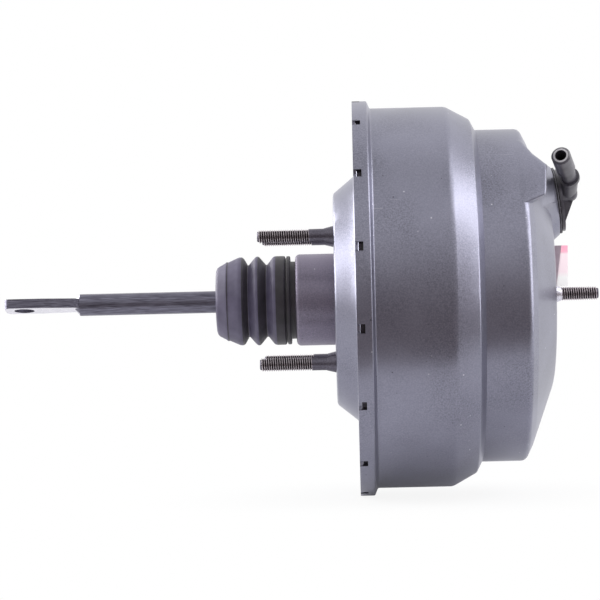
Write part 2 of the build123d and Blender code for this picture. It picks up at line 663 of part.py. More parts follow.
# ---- Plunger -------------------------------------------------------------------------------------
socket = BALL_RADIUS + RUN_GAP
socket_mouth_x = BALL_X - (socket**2 - PLUNGER_MOUTH_RADIUS**2) ** 0.5
neck_start = KEY_X - VALVE_LEAD - SEAT_GAP
neck_end = KEY_X + KEY_THICKNESS + SEAT_GAP
nose_end = REACTION_X - VALVE_LEAD - PLUNGER_NOSE_GAP
with BuildPart() as plunger:
    with BuildSketch(Plane.XZ) as section:
        with BuildLine():
            Polyline(
                (socket_mouth_x, PLUNGER_MOUTH_RADIUS),
                (PLUNGER_REAR_X, PLUNGER_MOUTH_RADIUS + PLUNGER_MOUTH_FLARE),
                (PLUNGER_REAR_X, PLUNGER_RADIUS),
                (neck_start, PLUNGER_RADIUS),
                (neck_start, PLUNGER_NECK_RADIUS),
                (neck_end, PLUNGER_NECK_RADIUS),
                (neck_end, PLUNGER_RADIUS),
                (nose_end - PLUNGER_NOSE_LENGTH, PLUNGER_RADIUS),
                (nose_end - PLUNGER_NOSE_LENGTH, PLUNGER_NOSE_RADIUS),
                (nose_end, PLUNGER_NOSE_RADIUS),
                (nose_end, 0),
                (BALL_X + socket, 0),
            )
            ThreePointArc(
                (BALL_X + socket, 0),
                (BALL_X, socket),
                (socket_mouth_x, PLUNGER_MOUTH_RADIUS),
            )
        make_face()
    revolve(axis=Axis.X)
save(plunger, "plunger")

# ---- Pedal rod with its ball and flattened eye ------------------------------------------------------
clip_x = SPRING_SEAT_X - SPRING_SEAT_THICKNESS / 2 - SEAT_GAP
clip_groove = ROD_RADIUS - CLIP_GROOVE_DEPTH
neck_joint_x = BALL_X - (BALL_RADIUS**2 - ROD_NECK_RADIUS**2) ** 0.5
roll = radians(EYE_ROLL)
eye_plane = Plane(origin=(0, 0, 0), x_dir=(1, 0, 0), z_dir=(0, sin(roll), cos(roll)))
with BuildPart() as pedal_rod:
    with BuildSketch(Plane.XZ) as section:
        with BuildLine():
            ThreePointArc(
                (BALL_X + BALL_RADIUS, 0), (BALL_X, BALL_RADIUS), (neck_joint_x, ROD_NECK_RADIUS)
            )
            Polyline(
                (neck_joint_x, ROD_NECK_RADIUS),
                (ROD_NECK_X, ROD_NECK_RADIUS),
                (ROD_NECK_X - ROD_NECK_TAPER, ROD_WAIST_RADIUS),
                (ROD_WAIST_X, ROD_WAIST_RADIUS),
                (ROD_WAIST_X - ROD_TAPER, ROD_RADIUS),
                (clip_x + FACE_GAP, ROD_RADIUS),
                (clip_x + FACE_GAP, clip_groove),
                (clip_x - CLIP_THICKNESS - FACE_GAP, clip_groove),
                (clip_x - CLIP_THICKNESS - FACE_GAP, ROD_RADIUS),
                (ROD_SHOULDER_X, ROD_RADIUS),
                (ROD_SHOULDER_X - ROD_SHOULDER_CONE, EYE_THICKNESS / 2),
                (ROD_SHOULDER_X - ROD_SHOULDER_CONE, 0),
                (BALL_X + BALL_RADIUS, 0),
            )
        make_face()
    revolve(axis=Axis.X)
    with BuildSketch(eye_plane):
        with BuildLine():
            half_eye = [
                (ROD_SHOULDER_X + EYE_ROOT, ROD_RADIUS - EYE_ROOT_INSET),
                (ROD_SHOULDER_X - ROD_SHOULDER_CONE, EYE_WAIST / 2),
                (EYE_X + EYE_BLADE, EYE_WIDTH / 2),
                (EYE_END_X, EYE_WIDTH / 2),
            ]
            other_half = [(x, -y) for x, y in half_eye[::-1]]
            FilletPolyline(*half_eye, *other_half, radius=EYE_CORNERS, close=True)
        make_face()
        with Locations((EYE_X, 0)):
            Circle(EYE_RADIUS, mode=Mode.SUBTRACT)
    extrude(amount=EYE_THICKNESS / 2, both=True)
save(pedal_rod, "pedal_rod")

seat_start = SPRING_SEAT_X - SPRING_SEAT_THICKNESS / 2
with BuildPart() as rod_spring_seat:
    ring(seat_start, seat_start + SPRING_SEAT_THICKNESS, ROD_RADIUS + RUN_GAP, SPRING_SEAT_RADIUS)
save(rod_spring_seat, "rod_spring_seat")

with BuildPart() as rod_clip:
    with BuildSketch(Plane.YZ.offset(clip_x)):
        Circle(ROD_RADIUS + CLIP_RIM)
        Circle(clip_groove + FACE_GAP, mode=Mode.SUBTRACT)
        mouth_width = 2 * clip_groove * CLIP_MOUTH
        Rectangle(mouth_width, 2 * ROD_RADIUS, align=(Align.CENTER, Align.MIN), mode=Mode.SUBTRACT)
    extrude(amount=-CLIP_THICKNESS)
save(rod_clip, "rod_clip")

# ---- Poppet, retainer, filter and silencer ----------------------------------------------------------
poppet_front = PLUNGER_REAR_X - FACE_GAP
poppet_back = poppet_front - POPPET_FACE_THICKNESS
flange_front = POPPET_SHOULDER_X - FACE_GAP
flange_back = flange_front - POPPET_FLANGE
sleeve = POPPET_FACE_RADIUS - POPPET_WALL
with BuildPart() as poppet:
    turn([
        (poppet_front, POPPET_HOLE_RADIUS), (poppet_front, POPPET_FACE_RADIUS),
        (flange_front, POPPET_FACE_RADIUS),
        (flange_front, TAIL_BORE_RADIUS - SEAT_GAP), (flange_back, TAIL_BORE_RADIUS - SEAT_GAP),
        (flange_back, sleeve), (poppet_back, sleeve), (poppet_back, POPPET_HOLE_RADIUS),
    ])
save(poppet, "poppet")

retainer_front = flange_back - FACE_GAP
retainer_back = retainer_front - RETAINER_THICKNESS
retainer_seat_x = retainer_back + RETAINER_SEAT_DEPTH
retainer_seat = SPRING_SEAT_RADIUS + RETAINER_SEAT_GAP
with BuildPart() as poppet_retainer:
    turn([
        (retainer_front, RETAINER_HOLE_RADIUS), (retainer_front, TAIL_BORE_RADIUS - FACE_GAP),
        (retainer_back, TAIL_BORE_RADIUS - FACE_GAP), (retainer_back, retainer_seat),
        (retainer_seat_x, retainer_seat), (retainer_seat_x, RETAINER_HOLE_RADIUS),
    ])
save(poppet_retainer, "poppet_retainer")

filter_start = BOOT_END_X + BOOT_WALL + SEAT_GAP
with BuildPart() as air_filter:
    ring(filter_start, filter_start + FILTER_LENGTH, FILTER_HOLE_RADIUS, TAIL_BORE_RADIUS - SEAT_GAP)
save(air_filter, "air_filter")

silencer_start = filter_start + FILTER_LENGTH + SEAT_GAP
with BuildPart() as silencer:
    ring(silencer_start, silencer_start + SILENCER_LENGTH, FILTER_HOLE_RADIUS, TAIL_BORE_RADIUS - SEAT_GAP)
save(silencer, "silencer")

# ---- Diaphragms, support plates and divider ---------------------------------------------------------
rear_bead_x = rim_front_x + FACE_GAP
rear_bead_end = step_x - SHELL_WALL - SEAT_GAP
roll_radius = large_inside - DRUM_GAP
support_rear_x = bead_end + SEAT_GAP
support_front_x = support_rear_x + REAR_SUPPORT_LIP
rear_support_lip = REAR_SUPPORT_RADIUS + SUPPORT_WALL
rear_loop = rear_support_lip + LOOP_GAP
rear_loop_x = support_rear_x + LOOP_LENGTH
with BuildPart() as rear_diaphragm:
    turn_sheet(
        [
            (rear_bead_x + RUBBER / 2, roll_radius),
            (rear_loop_x - LOOP_CORNER, roll_radius),
            (rear_loop_x, roll_radius - LOOP_CORNER),
            (rear_loop_x, rear_loop + LOOP_CORNER),
            (rear_loop_x - LOOP_CORNER, rear_loop),
            (bead_end, rear_loop),
            (bead_end, BEAD_SEAT_RADIUS + RUBBER),
        ],
        [0, 0, 0, 0, 0],
        RUBBER,
    )
    ring(rear_bead_x, rear_bead_end, roll_radius - LOOP_GAP, rim_radius)
    inner_bead = BEAD_SEAT_RADIUS + SEAT_GAP
    ring(flange_end + FACE_GAP, bead_end, inner_bead, inner_bead + INNER_BEAD)
save(rear_diaphragm, "rear_diaphragm")

with BuildPart() as rear_support:
    turn_sheet(
        [
            (support_rear_x, TUBE_RADIUS + FACE_GAP),
            (support_rear_x, rear_support_lip),
            (support_front_x, rear_support_lip),
        ],
        [0],
        SUPPORT_WALL,
    )
save(rear_support, "rear_support")

divider_x = support_front_x + STROKE + DIVIDER_MARGIN
divider_flange_x = shoulder_x - DIVIDER_WALL - DIVIDER_SEAT
collar_inside = TUBE_RADIUS + CENTRE_SEAL_WIDTH
flange_inside = large_inside - SEAT_GAP - DIVIDER_WALL
with BuildPart() as divider:
    turn_sheet(
        [
            (divider_x + DIVIDER_COLLAR_LENGTH, collar_inside),
            (divider_x, collar_inside),
            (divider_x, DIVIDER_PAN_RADIUS),
            (divider_flange_x, DIVIDER_PAN_RADIUS),
            (divider_flange_x, flange_inside),
            (divider_flange_x - DIVIDER_RIM_LENGTH, flange_inside),
        ],
        [0, 0, 0, 0],
        DIVIDER_WALL,
    )
save(divider, "divider")

with BuildPart() as centre_seal:
    centre_seal_end = divider_x + DIVIDER_COLLAR_LENGTH
    centre_seal_x = centre_seal_end - CENTRE_SEAL_LENGTH
    lip_seal(centre_seal_x, centre_seal_end, TUBE_RADIUS + RUN_GAP, collar_inside - SEAT_GAP)
save(centre_seal, "centre_seal")

dish_foot = TUBE_END_X - FRONT_SUPPORT_DISH - SUPPORT_WALL
front_lip = FRONT_SUPPORT_RADIUS + SEAT_GAP
with BuildPart() as front_support:
    turn_sheet(
        [
            (TUBE_END_X, REACTION_RADIUS + SEAT_GAP),
            (TUBE_END_X, TUBE_RADIUS + DISH_INNER),
            (dish_foot, TUBE_RADIUS + DISH_OUTER),
            (dish_foot, front_lip),
            (dish_foot + FRONT_SUPPORT_LIP, front_lip),
        ],
        [0, 0, 0],
        SUPPORT_WALL,
    )
save(front_support, "front_support")

front_bead_x = divider_flange_x + DIVIDER_WALL + FACE_GAP
front_loop = front_lip + LOOP_GAP
front_loop_x = front_bead_x + LOOP_LENGTH
pan_loop = DIVIDER_PAN_RADIUS + PAN_GAP
bead_inner, bead_outer = (large_inside - inset for inset in FRONT_BEAD)
dish_back, tube_back = dish_foot - SEAT_GAP, TUBE_END_X - SEAT_GAP
with BuildPart() as front_diaphragm:
    turn_sheet(
        [
            (front_bead_x + RUBBER, (bead_inner + bead_outer) / 2),
            (front_bead_x + RUBBER, pan_loop),
            (front_loop_x - LOOP_CORNER, pan_loop),
            (front_loop_x, pan_loop - LOOP_CORNER),
            (front_loop_x, front_loop + LOOP_CORNER),
            (front_loop_x - LOOP_CORNER, front_loop),
            (dish_back, front_loop),
            (dish_back, TUBE_RADIUS + DISH_OUTER - FACE_GAP),
            (tube_back, TUBE_RADIUS + DISH_INNER - FACE_GAP),
            (tube_back, TUBE_RADIUS + RUBBER),
        ],
        [0, 0, 0, 0, 0, 0, 0, 0],
        RUBBER,
    )
    ring(front_bead_x, front_bead_x + BEAD_LENGTH, bead_inner, bead_outer)
    ring(tube_back - INNER_BEAD, tube_back, TUBE_RADIUS + SEAT_GAP, TUBE_RADIUS + SEAT_GAP + INNER_BEAD)
save(front_diaphragm, "front_diaphragm")

# ---- Reaction disc, output rod and the cup that holds them ---------------------------------------------
head_x = REACTION_X + REACTION_THICKNESS
head_end = head_x + OUTPUT_HEAD_THICKNESS
head_radius = REACTION_RADIUS - SEAT_GAP
with BuildPart() as reaction_disc:
    ring(REACTION_X, head_x, 0, REACTION_RADIUS - FACE_GAP)
save(reaction_disc, "reaction_disc")

screw_x = OUTPUT_END_X - ADJUSTER_DEPTH
with BuildPart() as output_rod:
    turn([
        (head_x, 0), (head_x, head_radius), (head_end, head_radius),
        (head_end + OUTPUT_HEAD_TAPER, OUTPUT_RADIUS), (OUTPUT_END_X, OUTPUT_RADIUS), (OUTPUT_END_X, 0),
    ])
    ring(screw_x - ADJUSTER_HOLE_END, OUTPUT_END_X, 0, ADJUSTER_RADIUS + RUN_GAP, mode=Mode.SUBTRACT)
save(output_rod, "output_rod")

with BuildPart() as adjusting_screw:
    ring(screw_x, ADJUSTER_END_X, 0, ADJUSTER_RADIUS)
    fillet(adjusting_screw.edges().sort_by(Axis.X)[-1], ADJUSTER_TIP)
    with BuildSketch(Plane.YZ.offset(OUTPUT_END_X + FACE_GAP)):
        RegularPolygon(ADJUSTER_HEX / 2, 6, major_radius=False)
    extrude(amount=ADJUSTER_HEX_THICKNESS)
save(adjusting_screw, "adjusting_screw")

cup_front = TUBE_END_X + SUPPORT_WALL + FACE_GAP
cup_radius = REACTION_RADIUS - FACE_GAP
with BuildPart() as piston_cup:
    turn([
        (cup_front + CUP_WALL, cup_radius - CUP_WALL), (cup_front + CUP_WALL, CUP_FLANGE_RADIUS),
        (cup_front, CUP_FLANGE_RADIUS), (cup_front, cup_radius),
        (cup_front - CUP_LENGTH, cup_radius), (cup_front - CUP_LENGTH, cup_radius - CUP_WALL),
    ])
save(piston_cup, "piston_cup")

seal_lip = OUTPUT_RADIUS + SEAT_GAP
seal_tail_x = pilot_floor - SHELL_WALL - FRONT_SEAL_TAIL
seal_tail = PILOT_HOLE_RADIUS - FACE_GAP
seal_face_x = pilot_floor + FRONT_SEAL_HEIGHT
with BuildPart() as front_seal:
    turn([
        (seal_tail_x, seal_lip), (seal_face_x, seal_lip), (seal_face_x, FRONT_SEAL_RADIUS),
        (pilot_floor + FACE_GAP, FRONT_SEAL_RADIUS), (pilot_floor + FACE_GAP, seal_tail),
        (seal_tail_x, seal_tail),
    ])
save(front_seal, "front_seal")

with BuildPart() as front_seal_ring:
    front_ring_x = seal_face_x + FACE_GAP
    ring(front_ring_x, front_ring_x + FRONT_RING_THICKNESS, FRONT_RING_RADIUS, PILOT_RADIUS - FACE_GAP)
save(front_seal_ring, "front_seal_ring")

# ---- Springs -------------------------------------------------------------------------------
def across(x):
    """The plane square to the booster's axis at one station, looking forwards."""
    return Plane(origin=(x, 0, 0), x_dir=(0, 1, 0), z_dir=(1, 0, 0))


main_seat_x = cup_front + CUP_WALL
with BuildPart() as return_spring:
    main_radii = (MAIN_REAR_RADIUS, MAIN_FRONT_RADIUS)
    coil(across(main_seat_x), front_plate_x - main_seat_x, main_radii, MAIN_WIRE, MAIN_TURNS)
save(return_spring, "return_spring")

rod_seat_x = seat_start + SPRING_SEAT_THICKNESS
with BuildPart() as rod_return_spring:
    rod_radii = (ROD_SPRING_RADIUS, ROD_SPRING_RADIUS)
    coil(across(rod_seat_x), retainer_seat_x - rod_seat_x, rod_radii, ROD_WIRE, ROD_TURNS)
save(rod_return_spring, "rod_return_spring")

with BuildPart() as poppet_spring:
    poppet_radii = (POPPET_SPRING_RADIUS, POPPET_SPRING_RADIUS)
    coil(across(retainer_front), poppet_back - retainer_front, poppet_radii, POPPET_WIRE, POPPET_TURNS)
save(poppet_spring, "poppet_spring")

# ---- Dust boot -------------------------------------------------------------------------------
neck_radius = HUB_MOUTH_RADIUS - SEAT_GAP
mouth_inner_x = REAR_WALL - HUB_LENGTH
bead_x = mouth_inner_x + SEAT_GAP
with BuildPart() as dust_boot:
    outside = [(BOOT_END_X, BOOT_HOLE_RADIUS), (BOOT_END_X, BOOT_END_RADIUS)] + BOOT_FOLDS
    turn_sheet(outside, [BOOT_END_CORNER] + BOOT_FOLD_RADII[:-1], BOOT_WALL)
    last_x, last_radius = BOOT_FOLDS[-1]
    turn([
        (last_x - BOOT_WALL / 2, neck_radius - BOOT_NECK_WALL), (last_x, last_radius), (last_x, neck_radius),
        (bead_x, neck_radius), (bead_x, neck_radius + BOOT_BEAD), (bead_x + BOOT_BEAD_LENGTH, neck_radius),
        (bead_x + BOOT_BEAD_LENGTH, neck_radius - BOOT_NECK_WALL),
    ])
save(dust_boot, "dust_boot")

# ---- Check valve ------------------------------------------------------------------------------------
grommet_inner = STEM_RADIUS + RUN_GAP
grommet_outer = STEM_RADIUS + GROMMET_WALL
lip_start = FACE_GAP
tail_end = -SHELL_WALL - SEAT_GAP
plate_start = lip_start + GROMMET_LIP + SEAT_GAP
plate_end = plate_start + VALVE_PLATE_THICKNESS
chamber_end = plate_end - CHAMBER_ROOF
stem_end = -STEM_DEPTH


def about_valve(start, end, inner, outer, centre=(0, 0), mode=Mode.ADD):
    """A ring between two heights above the pad, about an axis square to it."""
    with BuildSketch(valve_plane.offset(start)) as section:
        with Locations(centre):
            Circle(outer)
            if inner:
                Circle(inner, mode=Mode.SUBTRACT)
    extrude(section.sketch, amount=end - start, dir=valve_plane.z_dir, mode=mode)


with BuildPart() as valve_grommet:
    about_valve(tail_end - GROMMET_TAIL, lip_start + GROMMET_LIP, grommet_inner, grommet_outer)
    about_valve(lip_start, lip_start + GROMMET_LIP, grommet_inner, GROMMET_RADIUS)
    about_valve(tail_end - GROMMET_TAIL, tail_end, grommet_inner, grommet_outer + GROMMET_BULGE)
save(valve_grommet, "valve_grommet")

leg_foot = valve_plane.from_local_coords(Vector(0, LEG_OFFSET, plate_end))
elbow = valve_plane.from_local_coords(Vector(0, LEG_OFFSET, plate_end + ELBOW_RISE))
collar = elbow + Vector(*ARM_SPAN)
mouth = collar + Vector(*NIPPLE_SPAN)
arm_way = Vector(*ARM_SPAN).normalized()
nipple_way = Vector(*NIPPLE_SPAN).normalized()
nipple_length = Vector(*NIPPLE_SPAN).length


def rod_along(start, way, length, radius, mode=Mode.ADD):
    """A plain round rod from a point along a direction."""
    with BuildSketch(Plane(origin=start, z_dir=way)) as section:
        Circle(radius)
    extrude(section.sketch, amount=length, dir=way, mode=mode)


leg_top = plate_end + LEG_HEIGHT
with BuildPart() as leg:
    about_valve(plate_end - ROOT, leg_top, 0, LEG_RADIUS, (0, LEG_OFFSET))
    fillet(leg.edges().filter_by(GeomType.CIRCLE).sort_by(Axis(leg_foot, valve_plane.z_dir))[-1], LEG_DOME)
with BuildPart() as nipple:
    rod_along(mouth, -nipple_way, NIPPLE_BEAD_LENGTH, NIPPLE_RADIUS)
    chamfer(nipple.edges().filter_by(GeomType.CIRCLE), NIPPLE_CHAMFER)
with BuildPart() as valve_body:
    about_valve(stem_end, plate_end, 0, STEM_RADIUS)
    about_valve(plate_start, plate_end, 0, VALVE_PLATE_RADIUS)
    add(leg.part)
    rod_along(elbow, arm_way, Vector(*ARM_SPAN).length, ARM_RADIUS)
    rod_along(collar - nipple_way * COLLAR_LENGTH / 2, nipple_way, COLLAR_LENGTH, COLLAR_RADIUS)
    rod_along(collar, nipple_way, nipple_length - NIPPLE_CHAMFER, NIPPLE_NECK_RADIUS)
    add(nipple.part)
    # rib below the leg, down to the plate
    with BuildSketch(Plane(leg_foot, x_dir=valve_plane.y_dir, z_dir=valve_plane.x_dir)) as rib:
        with BuildLine():
            rib_end = -LEG_RADIUS - RIB_REACH
            rib_top = [(0, RIB_HEIGHT), (-LEG_RADIUS, RIB_HEIGHT), (rib_end, 0)]
            Polyline((0, -ROOT), *rib_top, (rib_end, -ROOT), close=True)
        make_face()
    extrude(rib.sketch, amount=RIB_THICKNESS / 2, both=True)
    # valve chamber, its port and the way out through the nipple
    about_valve(stem_end, stem_end + PORT_FLOOR, 0, PORT_RADIUS, mode=Mode.SUBTRACT)
    about_valve(stem_end + PORT_FLOOR, chamber_end, 0, CHAMBER_RADIUS, mode=Mode.SUBTRACT)
    about_valve(0, plate_end + ELBOW_RISE, 0, NIPPLE_BORE_RADIUS, (0, LEG_PORT_OFFSET), mode=Mode.SUBTRACT)
    rod_along(elbow, arm_way, Vector(*ARM_SPAN).length, NIPPLE_BORE_RADIUS, mode=Mode.SUBTRACT)
    rod_along(collar, nipple_way, nipple_length + ROOT, NIPPLE_BORE_RADIUS, mode=Mode.SUBTRACT)
save(valve_body, "valve_body")

disc_start = stem_end + PORT_FLOOR + RUN_GAP
with BuildPart() as check_disc:
    about_valve(disc_start, disc_start + DISC_THICKNESS, 0, CHAMBER_RADIUS - DISC_GAP)
save(check_disc, "check_disc")

disc_top = disc_start + DISC_THICKNESS
with BuildPart() as check_spring:
    check_radii = (VALVE_SPRING_RADIUS, VALVE_SPRING_RADIUS)
    coil(valve_plane.offset(disc_top), chamber_end - disc_top, check_radii, VALVE_WIRE, VALVE_TURNS)
save(check_spring, "check_spring")

# ---- Folded paper tag ----------------------------------------------------------------------------------
def leaf(*corners):
    """A flat sheet of the tag, thickened towards the inside of its fold."""
    along, down = corners[1] - corners[0], corners[-1] - corners[0]
    plane = Plane(origin=corners[0], x_dir=along, z_dir=along.cross(down))
    with BuildSketch(plane) as outline:
        Polygon(*[(spot.X, spot.Y) for spot in map(plane.to_local_coords, corners)], align=None)
    extrude(outline.sketch, amount=TAG_THICKNESS)


tag_back = front_x + TAG_BACK_X
tab_x, tab_z = tag_back + TAG_TAB_WIDTH, TAG_TOP_Z + TAG_TAB_RISE
fold_top = Vector(front_x + TAG_FOLD_X, TAG_Y, TAG_TOP_Z)
fold_bottom = fold_top + Vector(-TAG_FOLD_LEAN, 0, TAG_BOTTOM_Z - TAG_TOP_Z)
flap_way = Vector(TAG_FLAP, TAG_TURN, 0)
with BuildPart() as paper_tag:
    leaf(Vector(tag_back, TAG_Y, TAG_TOP_Z), fold_top, fold_bottom, Vector(tag_back, TAG_Y, TAG_BOTTOM_Z))
    leaf(fold_top, fold_top + flap_way, fold_bottom + flap_way, fold_bottom)
    # tab that sticks to the shell, with its root inside the back leaf
    leaf(
        Vector(tag_back, TAG_Y, tab_z), Vector(tab_x, TAG_Y, tab_z),
        Vector(tab_x, TAG_Y, TAG_TOP_Z - TAG_TAB_WIDTH), Vector(tag_back, TAG_Y, TAG_TOP_Z - TAG_TAB_WIDTH),
    )
save(paper_tag, "paper_tag")
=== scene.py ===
import json
from math import atan2, cos, pi, radians, sin

import bmesh
import bpy
from mathutils import Matrix, Vector


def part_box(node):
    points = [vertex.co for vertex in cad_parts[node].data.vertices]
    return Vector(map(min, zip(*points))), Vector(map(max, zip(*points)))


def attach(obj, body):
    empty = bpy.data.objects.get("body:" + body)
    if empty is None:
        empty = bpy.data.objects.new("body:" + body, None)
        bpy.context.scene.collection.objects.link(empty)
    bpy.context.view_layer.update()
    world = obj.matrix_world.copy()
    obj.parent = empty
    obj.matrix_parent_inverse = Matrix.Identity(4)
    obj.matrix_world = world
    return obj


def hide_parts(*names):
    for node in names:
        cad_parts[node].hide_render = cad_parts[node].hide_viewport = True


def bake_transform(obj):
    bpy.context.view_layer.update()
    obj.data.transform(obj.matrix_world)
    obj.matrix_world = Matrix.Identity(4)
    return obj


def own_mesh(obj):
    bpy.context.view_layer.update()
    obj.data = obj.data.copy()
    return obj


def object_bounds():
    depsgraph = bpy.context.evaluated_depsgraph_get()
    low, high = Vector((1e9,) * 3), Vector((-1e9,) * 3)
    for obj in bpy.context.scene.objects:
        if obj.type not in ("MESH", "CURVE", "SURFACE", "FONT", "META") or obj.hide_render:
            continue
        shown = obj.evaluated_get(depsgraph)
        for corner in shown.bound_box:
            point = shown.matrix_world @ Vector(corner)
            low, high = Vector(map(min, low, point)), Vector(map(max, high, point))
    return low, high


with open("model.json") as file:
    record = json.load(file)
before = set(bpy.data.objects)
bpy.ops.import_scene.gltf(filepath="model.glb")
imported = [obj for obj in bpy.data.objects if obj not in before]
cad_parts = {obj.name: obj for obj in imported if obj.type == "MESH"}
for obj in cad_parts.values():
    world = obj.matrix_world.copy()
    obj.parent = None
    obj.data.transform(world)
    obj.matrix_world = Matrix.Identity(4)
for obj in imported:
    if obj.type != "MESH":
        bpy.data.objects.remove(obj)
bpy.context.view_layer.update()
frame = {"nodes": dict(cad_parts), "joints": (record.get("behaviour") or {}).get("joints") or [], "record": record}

# Everything is in metres. +X is the booster's axis, from the pedal rod towards the master cylinder.
MM = 0.001
slot_of = {row["node"]: row["material_slot"] for row in frame["record"]["subparts"]}
bodies = frame["record"]["behaviour"]["bodies"]
body_of = {node: body for body, nodes in bodies.items() for node in nodes}
mounts = {mount["name"]: mount for mount in frame["record"]["mounts"]}
joints = {joint["name"]: joint for joint in frame["joints"]}
valve_at = Vector(joints["valve_swivel"]["pos_m"])
valve_way = Vector(joints["valve_swivel"]["axis"]).normalized()


# ---- Colours and nodes -------------------------------------------------------------------------
def linear(code):
    """An sRGB hex colour as linear RGBA."""
    parts = [int(code[k:k + 2], 16) / 255 for k in (1, 3, 5)]
    return [p / 12.92 if p <= 0.04045 else ((p + 0.055) / 1.055) ** 2.4 for p in parts] + [1.0]


def add_node(tree, kind, inputs=None, **settings):
    """A node with its settings; an input given as a socket is linked, any other value is set."""
    made = tree.nodes.new(kind)
    for name, value in settings.items():
        setattr(made, name, value)
    for name, value in (inputs or {}).items():
        socket = made.inputs[name]
        if isinstance(value, bpy.types.NodeSocket):
            tree.links.new(value, socket)
        else:
            socket.default_value = value
    return made


def new_material(name):
    """An empty node material with its Principled shader joined to the output."""
    material = bpy.data.materials.new(name)
    material.use_nodes = True
    tree = material.node_tree
    tree.nodes.clear()
    shader = add_node(tree, "ShaderNodeBsdfPrincipled")
    add_node(tree, "ShaderNodeOutputMaterial", {"Surface": shader.outputs["BSDF"]})
    return material, tree, shader


def per_metre(size_mm):
    """The texture scale, on coordinates in metres, whose grain is about size_mm wide."""
    return 1000 / size_mm


# ---- Materials ---------------------------------------------------------------------------------
# Sizes of the patterns in mm. Flake, nibs and pinholes are drawn coarser than real, to show.
CLOUD = 45
PATCH = 60
FLAKE = 1.0
PINHOLE_APART, NIB_APART = 14, 13
SCRATCH = 2.2
ORANGE_PEEL, PEEL_DEPTH = 1.6, 0.06
FRAY, FRAY_REACH = 4, 0.9
LAYER = 1.35
GRIT = 0.9
PULP = 1.5
PRINT_SPAN = (28.5, 31.0)  # heights between which the tag's print begins
TINT_SPAN = (12, 16)


def silver_enamel(name, pale, deep, rough, metallic):
    """Silver enamel sprayed on pressed steel: satin, with flake, nibs, pinholes and scratches."""
    material, tree, shader = new_material(name)
    where = add_node(tree, "ShaderNodeTexCoord").outputs["Object"]
    clouds = add_node(tree, "ShaderNodeTexNoise", {
        "Vector": where, "Scale": per_metre(CLOUD), "Detail": 4.0})
    drift = add_node(tree, "ShaderNodeMix", {
        "Factor": clouds.outputs["Fac"], "A": linear(deep), "B": linear(pale)}, data_type="RGBA")
    # metal flake, stronger in patches
    patches = add_node(tree, "ShaderNodeTexNoise", {
        "Vector": where, "Scale": per_metre(PATCH), "Detail": 2.0})
    flake = add_node(tree, "ShaderNodeTexNoise", {
        "Vector": where, "Scale": per_metre(FLAKE), "Detail": 1.5})
    depth = add_node(tree, "ShaderNodeMapRange", {
        "Value": patches.outputs["Fac"], "From Min": 0.45, "From Max": 0.65,
        "To Min": 0.94, "To Max": 0.70})
    glint = add_node(tree, "ShaderNodeMapRange", {
        "Value": flake.outputs["Fac"], "From Min": 0.32, "From Max": 0.72,
        "To Min": depth.outputs["Result"], "To Max": 1.14})
    flaked = add_node(tree, "ShaderNodeVectorMath", {
        0: drift.outputs["Result"], "Scale": glint.outputs["Result"]}, operation="SCALE")
    # dark pinholes about 1 mm wide
    pits = add_node(tree, "ShaderNodeTexVoronoi", {
        "Vector": where, "Scale": per_metre(PINHOLE_APART)}, feature="F1")
    pit = add_node(tree, "ShaderNodeMapRange", {
        "Value": pits.outputs["Distance"], "From Min": 0.03, "From Max": 0.055,
        "To Min": 0.65, "To Max": 0.0})
    pitted = add_node(tree, "ShaderNodeMix", {
        "Factor": pit.outputs["Result"], "A": flaked.outputs["Vector"], "B": linear("#3d3a44")},
        data_type="RGBA")
    # bright nibs, fewer and smaller
    nibs = add_node(tree, "ShaderNodeTexVoronoi", {
        "Vector": where, "Scale": per_metre(NIB_APART)}, feature="F1")
    nib = add_node(tree, "ShaderNodeMapRange", {
        "Value": nibs.outputs["Distance"], "From Min": 0.025, "From Max": 0.05,
        "To Min": 0.9, "To Max": 0.0})
    nibbed = add_node(tree, "ShaderNodeMix", {
        "Factor": nib.outputs["Result"], "A": pitted.outputs["Result"], "B": linear("#d9d8e2")},
        data_type="RGBA")
    # hairline scratches along the axis, where a stretched noise peaks
    drawn = add_node(tree, "ShaderNodeMapping", {
        "Vector": where, "Rotation": (0.3, 0.5, 0.2), "Scale": (0.07, 1.0, 1.0)})
    hair = add_node(tree, "ShaderNodeTexNoise", {
        "Vector": drawn.outputs["Vector"], "Scale": per_metre(SCRATCH), "Detail": 1.0})
    scratch = add_node(tree, "ShaderNodeMapRange", {
        "Value": hair.outputs["Fac"], "From Min": 0.79, "From Max": 0.83,
        "To Min": 0.0, "To Max": 0.3})
    coat = add_node(tree, "ShaderNodeMix", {
        "Factor": scratch.outputs["Result"], "A": nibbed.outputs["Result"], "B": linear("#c6c5d0")},
        data_type="RGBA")
    tree.links.new(coat.outputs["Result"], shader.inputs["Base Color"])
    gloss = add_node(tree, "ShaderNodeMapRange", {
        "Value": flake.outputs["Fac"], "To Min": rough - 0.08, "To Max": rough + 0.10})
    tree.links.new(gloss.outputs["Result"], shader.inputs["Roughness"])
    peel = add_node(tree, "ShaderNodeTexNoise", {
        "Vector": where, "Scale": per_metre(ORANGE_PEEL), "Detail": 3.0})
    relief = add_node(tree, "ShaderNodeBump", {
        "Height": peel.outputs["Fac"], "Strength": 0.5, "Distance": PEEL_DEPTH * MM})
    tree.links.new(relief.outputs["Normal"], shader.inputs["Normal"])
    shader.inputs["Metallic"].default_value = metallic
    return material


